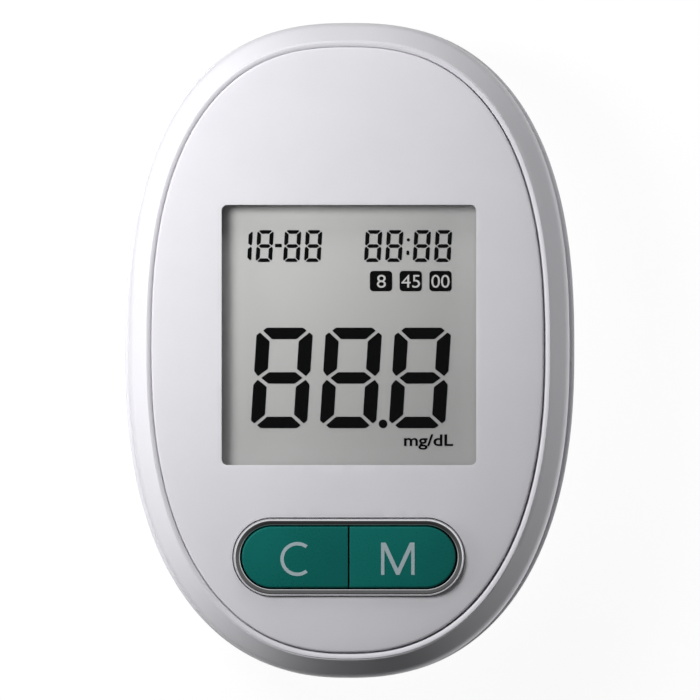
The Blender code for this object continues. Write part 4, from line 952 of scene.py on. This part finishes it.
band_end = HALF_WIDTH - SIDE_STEP
slope = (PLATE_RIM - BAND_BREAK[1]) / (BAND_BREAK[0] - LIP_FOOT[0])
corner = BAND_BREAK[1] - (band_end - BAND_BREAK[0]) * slope
section = [(band_end - PARTING_EDGE, PARTING), (band_end, PARTING + PARTING_EDGE)]
for step in range(BAND_TURN_STEPS + 1):
    share = step / BAND_TURN_STEPS
    section.append((
        band_end * (1 - share ** 2) + BAND_BREAK[0] * share ** 2,
        BAND_FOOT * (1 - share) ** 2 + corner * 2 * share * (1 - share) + BAND_BREAK[1] * share ** 2,
    ))
for step in range(1, BAND_SLOPE_STEPS + 1):
    share = step / BAND_SLOPE_STEPS
    section.append((
        BAND_BREAK[0] + (LIP_FOOT[0] - BAND_BREAK[0]) * share,
        BAND_BREAK[1] + (PLATE_RIM - BAND_BREAK[1]) * share,
    ))
stretch = (HALF_LENGTH - LIP_FOOT[1]) / (band_end - LIP_FOOT[0])
rings = [(reach, LIP_FOOT[1] + (reach - LIP_FOOT[0]) * stretch, height) for reach, height in section]
rings += [(SEAM[0] + reach, SEAM[1] + reach, height) for reach, height in LIP_STEP]
for step in range(LIP_STEPS + 1):
    turn = math.pi / 2 * step / LIP_STEPS
    reach = LIP_REACH * (1 - math.sin(turn))
    rings.append((SEAM[0] + reach, SEAM[1] + reach, LIP_CREST + LIP_FALL * (math.cos(turn) - 1)))
rings += [(SEAM[0] - inwards, SEAM[1] - inwards, height) for inwards, height in (
    (0.0, SEAM_FLOOR), (SEAM_SHELF, SEAM_FLOOR), (SEAM_SHELF, LEDGE_TOP),
    (LEDGE_REACH, LEDGE_TOP), (LEDGE_REACH, LEDGE_BOTTOM),
)]
rings += [(HALF_WIDTH - inwards, HALF_LENGTH - inwards, height) for inwards, height in (
    (BEZEL_WALL + FIT_GAP, LEDGE_BOTTOM), (BEZEL_WALL, PARTING), (BEZEL_WALL, TONGUE_BOTTOM),
    (REAR_WALL + FIT_GAP, TONGUE_BOTTOM), (REAR_WALL + FIT_GAP, PARTING),
)]
bezel = loft("front_rim", pebble_line, rings, hoop=True)
for x, y in CASE_SCREWS:
    carve(bezel, peg(x, y, POST_RADIUS, POST_BOTTOM, POST_TOP), "UNION")
    low, high = sorted((x, math.copysign(RIB_END, x)))
    carve(bezel, slab((low, y - RIB_HALF, RIB_BOTTOM), (high, y + RIB_HALF, POST_TOP)), "UNION")
    carve(bezel, peg(x, y, SCREW_HOLE_RADIUS, POST_BOTTOM - OVERRUN, PILOT_TOP))
settle(bezel, "front_rim")
smooth(bezel)
wear(white_case, bezel)
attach(bezel, "case")
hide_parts("front_bezel")

# Face plate
# A thin domed plate in white plastic, snapped into the bezel. It is open over the display and
# round the keys, with its edges softened in the mould.
PLATE = (24.83 * mm, 38.27 * mm)
PLATE_SHIFT = (-0.09 * mm, 0.09 * mm)
PLATE_BOTTOM = 19.6 * mm
PLATE_EDGE = 0.3 * mm
PLATE_DOME = 0.5 * mm
PLATE_FULLNESS = 3.2
PLATE_STEPS = 26
EDGE_STEPS = 5
WINDOW_X = 0.19 * mm
OPENING_HALF = (16.1 * mm, 16.45 * mm)
OPENING_CORNER = 0.75 * mm
OPENING_EDGE = 0.22 * mm
REBATE_HALF = (17.8 * mm, 18.15 * mm)
REBATE_TOP = 20.3 * mm
KEYS_CENTRE = (0.1 * mm, -26.13 * mm)
KEY_OPENING = (14.74 * mm, 5.02 * mm)
KEY_OPENING_EDGE = 0.12 * mm
PILL_POINTS = 128


def pill_line(turn, half_length, half_height):
    """A long round-ended outline, drawn so that no corner falls on its middle."""
    turn += math.pi / PILL_POINTS
    straight = half_length - half_height
    across = math.cos(turn)
    return half_height * across + math.copysign(straight, across), half_height * math.sin(turn)


def window_block(half, corner, low, high):
    """A round-cornered block over the display, to cut with."""
    made = slab(
        (WINDOW_X - half[0], WINDOW_Y - half[1], low), (WINDOW_X + half[0], WINDOW_Y + half[1], high)
    )
    round_uprights(made, corner, 8)
    return made


rings = [(PLATE[0] - 0.1 * mm, PLATE[1] - 0.1 * mm, PLATE_BOTTOM), (*PLATE, PLATE_BOTTOM + 0.1 * mm)]
for step in range(EDGE_STEPS + 1):
    turn = math.pi / 2 * step / EDGE_STEPS
    pull = PLATE_EDGE * (1 - math.cos(turn))
    rings.append((PLATE[0] - pull, PLATE[1] - pull, PLATE_RIM + PLATE_EDGE * (math.sin(turn) - 1)))
for step in range(1, PLATE_STEPS):
    share = 1 - step / PLATE_STEPS
    rings.append((
        (PLATE[0] - PLATE_EDGE) * share,
        (PLATE[1] - PLATE_EDGE) * share,
        PLATE_RIM + PLATE_DOME * (1 - share ** PLATE_FULLNESS),
    ))
plate = loft("face_plate", pebble_line, rings)
carve(plate, window_block(OPENING_HALF, OPENING_CORNER, PLATE_BOTTOM - OVERRUN, PLATE_RIM + OVERRUN))
carve(plate, window_block(REBATE_HALF, OPENING_CORNER * 2, PLATE_BOTTOM - OVERRUN, REBATE_TOP))
opening = loft("opening", pill_line, [
    (*KEY_OPENING, PLATE_BOTTOM - OVERRUN), (*KEY_OPENING, PLATE_RIM + OVERRUN)
], points=PILL_POINTS)
opening.location = (KEYS_CENTRE[0] - PLATE_SHIFT[0], KEYS_CENTRE[1] - PLATE_SHIFT[1], 0)
settle(opening, "opening")
carve(plate, opening)


def soften_rim(piece, reach, width, segments=4):
    """Rounds the upper edge of an opening, where its wall meets the plate's face."""
    sharp = sharp_edges(piece)

    def on_rim(edge):
        middle = middle_of(piece.data, edge)
        return edge.index in sharp and reach(middle) and middle.z > PLATE_RIM

    choose(piece, "EDGE", on_rim)
    bpy.ops.mesh.bevel(
        offset=width, offset_type="OFFSET", segments=segments, affect="EDGES", clamp_overlap=True
    )
    bpy.ops.object.mode_set(mode="OBJECT")


window_foot = WINDOW_Y - OPENING_HALF[1] - PLATE_EDGE
keys_head = KEYS_CENTRE[1] + KEY_OPENING[1] + PLATE_EDGE
soften_rim(plate, lambda place: place.y > window_foot, OPENING_EDGE)
soften_rim(plate, lambda place: place.y < keys_head, KEY_OPENING_EDGE, 3)
plate.location = (*PLATE_SHIFT, 0)
settle(plate, "face_plate")
smooth(plate)
wear(white_case, plate)
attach(plate, "case")
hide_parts("face_panel")

# Display window
# A clear acrylic lens bonded into a rebate under the plate, polished on both faces.
LENS_HALF = (17.5 * mm, 17.85 * mm)
LENS_HEIGHTS = (19.4 * mm, 20.0 * mm)

lens = window_block(LENS_HALF, OPENING_CORNER * 2, *LENS_HEIGHTS)
soften(lens, 0.08 * mm)
settle(lens, "window_lens")
start, place = new_finish("clear_acrylic")
facing = start.node("ShaderNodeLayerWeight", {}, {"Blend": 0.5}, "Facing")
haze = noise(place, 6.0, 3.0)
clear_acrylic = start.surface({
    "Base Color": haze.mix((0.93, 0.95, 0.95, 1.0), (0.97, 0.98, 0.98, 1.0)),
    "Metallic": 1.0,
    "Roughness": 0.03 + haze * 0.05,
    "Alpha": facing.maths("POWER", facing, 5.0) * 0.97 + 0.02,
})
wear(clear_acrylic, lens)
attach(lens, "case")
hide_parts("display_window")

# Key ring
# A chromed ring with a rounded outer shoulder and a bevel down to the keys. Its flange is
# trapped under the face plate.
RING_INNER = (13.74 * mm, 4.03 * mm)
RING_WIDTH = 0.86 * mm
RING_FLANGE = 0.6 * mm
RING_FLANGE_HEIGHTS = (18.6 * mm, 19.3 * mm)
RING_SECTION = [(outwards * mm, height * mm) for outwards, height in (
    (0.0, 21.48), (0.02, 21.55), (0.06, 21.61), (0.12, 21.65), (0.20, 21.68), (0.30, 21.71),
    (0.40, 21.74), (0.47, 21.76), (0.52, 21.77), (0.57, 21.755), (0.62, 21.72), (0.68, 21.665),
    (0.74, 21.60), (0.79, 21.53), (0.83, 21.45), (0.86, 21.35),
)]

rings = [(RING_INNER[0] + outwards, RING_INNER[1] + outwards, height) for outwards, height in (
    (0.0, RING_FLANGE_HEIGHTS[0]), *RING_SECTION, (RING_WIDTH, RING_FLANGE_HEIGHTS[1]),
    (RING_WIDTH + RING_FLANGE, RING_FLANGE_HEIGHTS[1]),
    (RING_WIDTH + RING_FLANGE, RING_FLANGE_HEIGHTS[0]),
)]
ring = loft("key_ring", pill_line, rings, hoop=True, points=PILL_POINTS)
ring.location = (*KEYS_CENTRE, 0)
settle(ring, "key_ring")
smooth(ring, 40)
start, place = new_finish("chrome_plate")
wear_patch = noise(place, 2.5, 3.0)
fine = noise(place, 0.12, 1.0)
chrome_plate = start.surface({
    "Base Color": wear_patch.mix((0.70, 0.70, 0.72, 1.0), (0.80, 0.80, 0.82, 1.0)),
    "Metallic": 1.0,
    "Roughness": 0.15 + wear_patch * 0.06 + (fine - 0.5) * 0.04,
    "Normal": fine.bump(0.0001 * mm),
})
wear(chrome_plate, ring)
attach(ring, "case")
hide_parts("button_ring")

# C key and M key
# Two halves of a green pill, moulded in satin plastic, each with a letter printed on its top.
# A flange under the ring keeps each in, and it presses its plunger down on the switch.
KEYS_HALF = (13.55 * mm, 3.9 * mm)
KEY_SPLIT = 0.1 * mm
KEY_EDGE = 0.3 * mm
KEY_EDGE_STEPS = 6
KEY_BOTTOM = 17.7 * mm
KEY_FLANGE_TOP = 18.3 * mm
KEY_TOP = 21.6 * mm
KEY_FLANGE = 0.6 * mm
SPLIT_EDGE = 0.1 * mm
LETTER_DEPTH = 0.03 * mm
LETTER_STROKE = 0.44 * mm
C_CENTRE = (-6.4 * mm, -26.36 * mm)
C_RADIUS = 2.15 * mm
C_OPENING = math.radians(50)
C_POINTS = 96
M_CORNER = (4.18 * mm, -28.36 * mm)
M_OUTLINE = [(x * mm, y * mm) for x, y in (
    (0.0, 0.0), (0.0, 4.08), (0.6, 4.08), (2.12, 0.78), (3.64, 4.08), (4.24, 4.08), (4.24, 0.0),
    (3.81, 0.0), (3.81, 3.2), (2.33, 0.0), (1.91, 0.0), (0.43, 3.2), (0.43, 0.0),
)]

key_rings = [
    (KEYS_HALF[0] + KEY_FLANGE, KEYS_HALF[1] + KEY_FLANGE, KEY_BOTTOM),
    (KEYS_HALF[0] + KEY_FLANGE, KEYS_HALF[1] + KEY_FLANGE, KEY_FLANGE_TOP),
    (*KEYS_HALF, KEY_FLANGE_TOP),
]
for step in range(KEY_EDGE_STEPS + 1):
    turn = math.pi / 2 * step / KEY_EDGE_STEPS
    pull = KEY_EDGE * (1 - math.cos(turn))
    rise = KEY_EDGE * (math.sin(turn) - 1)
    key_rings.append((KEYS_HALF[0] - pull, KEYS_HALF[1] - pull, KEY_TOP + rise))

satin_green = moulded(
    "satin_green", (0.005, 0.158, 0.138), (0.003, 0.132, 0.115), 0.3, 0.002 * mm, gloss=0.4
)
letter_print = moulded("letter_print", (0.43, 0.53, 0.56), (0.38, 0.48, 0.51), 0.5, 0.004 * mm, 0.15)


def key(name, side, body, replaced):
    """One half of the pill, parted from the other by a fine gap."""
    made = loft(name, pill_line, key_rings, points=PILL_POINTS)
    bpy.ops.object.mode_set(mode="EDIT")
    bpy.ops.mesh.select_all(action="SELECT")
    bpy.ops.mesh.bisect(
        plane_co=(side * KEY_SPLIT, 0, 0), plane_no=(side, 0, 0), use_fill=True, clear_inner=True
    )
    bpy.ops.object.mode_set(mode="OBJECT")
    sharp = sharp_edges(made, 60)

    def at_split(edge):
        middle = middle_of(made.data, edge)
        beside = abs(middle.x - side * KEY_SPLIT) < SPLIT_EDGE
        return edge.index in sharp and beside and middle.z > KEY_TOP - SPLIT_EDGE

    choose(made, "EDGE", at_split)
    bpy.ops.mesh.bevel(offset=SPLIT_EDGE, offset_type="OFFSET", segments=3, affect="EDGES")
    bpy.ops.object.mode_set(mode="OBJECT")
    made.location = (*KEYS_CENTRE, 0)
    settle(made, name)
    smooth(made, 40)
    wear(satin_green, made)
    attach(made, body)
    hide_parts(replaced)


key("c_cap", -1, "c_key", "c_button")
key("m_cap", 1, "m_key", "m_button")

bpy.ops.object.select_all(action="DESELECT")
bpy.ops.mesh.primitive_circle_add(
    vertices=C_POINTS, radius=C_RADIUS, fill_type="NOTHING", location=(*C_CENTRE, KEY_TOP)
)
c_letter = settle(bpy.context.object, "c_letter")
choose(c_letter, "VERT", lambda point: (
    abs(math.atan2(point.co.y - C_CENTRE[1], point.co.x - C_CENTRE[0])) < C_OPENING
))
bpy.ops.mesh.delete(type="VERT")
bpy.ops.mesh.select_all(action="SELECT")
bpy.ops.mesh.extrude_region_move(TRANSFORM_OT_translate={"value": (0, 0, 0)})
narrow = 1 - LETTER_STROKE / C_RADIUS
bpy.ops.transform.resize(value=(narrow, narrow, 1), center_override=(*C_CENTRE, KEY_TOP))
bpy.ops.mesh.select_all(action="SELECT")
bpy.ops.mesh.extrude_region_move(TRANSFORM_OT_translate={"value": (0, 0, LETTER_DEPTH)})
bpy.ops.mesh.select_all(action="SELECT")
bpy.ops.mesh.normals_make_consistent(inside=False)
bpy.ops.object.mode_set(mode="OBJECT")
m_letter = plaque("m_letter", [
    (M_CORNER[0] + x, M_CORNER[1] + y) for x, y in M_OUTLINE
], KEY_TOP, KEY_TOP + LETTER_DEPTH)
for letter, body in ((c_letter, "c_key"), (m_letter, "m_key")):
    wear(letter_print, letter)
    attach(letter, body)

# Floor, light and camera
# A pale table that keeps the meter's soft shadow, small lamps close by with the brightest up to
# the left, and a camera high above that leans a little to the right. The lamps leave no hot spots
# in chrome and lens, which mirror a sky that is dark overhead and towards the lower side.
FLOOR_SIZE = 6.0
FLOOR_DROP = 0.02 * mm
VIEW_DISTANCE = 2.2
VIEW_LEAN = math.radians(1.5)
VIEW_AIM = (0.24 * mm, 0.05 * mm, 21.0 * mm)
VIEW_LENS = 895.2
SENSOR = 36.0
TABLE_GLOW = 0.92
SKY_FILL = 0.05
LAMPS = [
    ("key", (-0.09, 0.05, 0.13), 0.06, 0.115),
    ("near", (-0.06, 0.05, 0.12), 0.05, 0.037),
    ("left", (-0.20, -0.03, 0.06), 0.08, 0.118),
    ("left_high", (-0.16, 0.0, 0.08), 0.06, 0.034),
    ("top", (0.0, 0.20, 0.10), 0.08, 0.128),
    ("right", (0.14, 0.0, 0.035), 0.06, 0.042),
    ("below", (0.15, -0.15, -0.5), 0.40, 3.0),
]

bpy.ops.object.select_all(action="DESELECT")
bpy.ops.mesh.primitive_plane_add(size=FLOOR_SIZE, location=(0, 0, -FLOOR_DROP))
floor = settle(bpy.context.object, "table_top")
start, place = new_finish("pale_table")
tree = start.material.node_tree
grain = noise(place, 30.0, 2.0)
rays = {kind: start.node("ShaderNodeLightPath", {}, {}, f"Is {kind} Ray") for kind in (
    "Camera", "Glossy", "Transmission", "Shadow"
)}
seen = rays["Camera"].maths("MAXIMUM", rays["Camera"], rays["Glossy"])
seen = seen.maths("MAXIMUM", seen, rays["Transmission"])
start.surface({
    "Base Color": grain.mix((0.12, 0.12, 0.12, 1.0), (0.14, 0.14, 0.14, 1.0)),
    "Roughness": 0.9,
    "Specular IOR Level": 0.0,
    "Emission Color": (1.0, 1.0, 1.0, 1.0),
    "Emission Strength": seen * TABLE_GLOW,
})
under = start.node("ShaderNodeNewGeometry", {}, {}, "Backfacing")
gone = under.maths("MAXIMUM", under, rays["Shadow"])
solid = Shade(start.material, tree.nodes["Principled BSDF"].outputs[0])
clear = start.node("ShaderNodeBsdfTransparent", {}, {})
shown = start.node("ShaderNodeMixShader", {}, {0: gone, 1: solid, 2: clear})
tree.links.new(shown.socket, tree.nodes["Material Output"].inputs["Surface"])
wear(start.material, floor)

for name, spot, size, power in LAMPS:
    bpy.ops.object.light_add(type="AREA", location=spot)
    lamp = bpy.context.object
    lamp.name = f"{name}_lamp"
    lamp.data.shape = "DISK"
    lamp.data.size = size
    lamp.data.energy = power
    lamp.rotation_euler = (Vector((0, 0, PARTING)) - Vector(spot)).to_track_quat("-Z", "Y").to_euler()
    lamp.visible_camera = False
    lamp.visible_glossy = False

world = bpy.data.worlds.new("studio")
world.use_nodes = True
bpy.context.scene.world = world
sky = Shade(world)
rays = {kind: sky.node("ShaderNodeLightPath", {}, {}, f"Is {kind} Ray") for kind in (
    "Camera", "Glossy", "Transmission"
)}
seen = rays["Camera"].maths("MAXIMUM", rays["Camera"], rays["Transmission"])
direction = sky.node("ShaderNodeTexCoord", {}, {}, "Generated")
height = sky.node("ShaderNodeSeparateXYZ", {}, {0: direction}, 2)
overhead = sky.node("ShaderNodeMapRange", {"interpolation_type": "SMOOTHSTEP"}, {
    "Value": height, "From Min": 0.15, "From Max": 0.8, "To Min": 1.0, "To Max": 0.12,
})
north = sky.node("ShaderNodeSeparateXYZ", {}, {0: direction}, 1)
lower_side = sky.node("ShaderNodeMapRange", {"interpolation_type": "SMOOTHSTEP"}, {
    "Value": north, "From Min": -0.8, "From Max": 0.3, "To Min": 0.14, "To Max": 1.1,
})
mirrored = rays["Glossy"] * overhead * lower_side + (1 - rays["Glossy"]) * SKY_FILL
strength = seen + (1 - seen) * mirrored
world.node_tree.links.new(strength.socket, world.node_tree.nodes["Background"].inputs["Strength"])
world.node_tree.nodes["Background"].inputs["Color"].default_value = (1.0, 1.0, 1.0, 1.0)

bpy.ops.object.camera_add(
    location=(
        VIEW_AIM[0] + VIEW_DISTANCE * math.sin(VIEW_LEAN),
        VIEW_AIM[1],
        VIEW_AIM[2] + VIEW_DISTANCE * math.cos(VIEW_LEAN),
    ),
    rotation=(0, VIEW_LEAN, 0),
)
camera = bpy.context.object
camera.name = "photo_camera"
camera.data.lens = VIEW_LENS
camera.data.sensor_width = SENSOR
camera.data.clip_start = 0.05
bpy.context.scene.camera = camera
bpy.context.scene.view_settings.view_transform = "Standard"
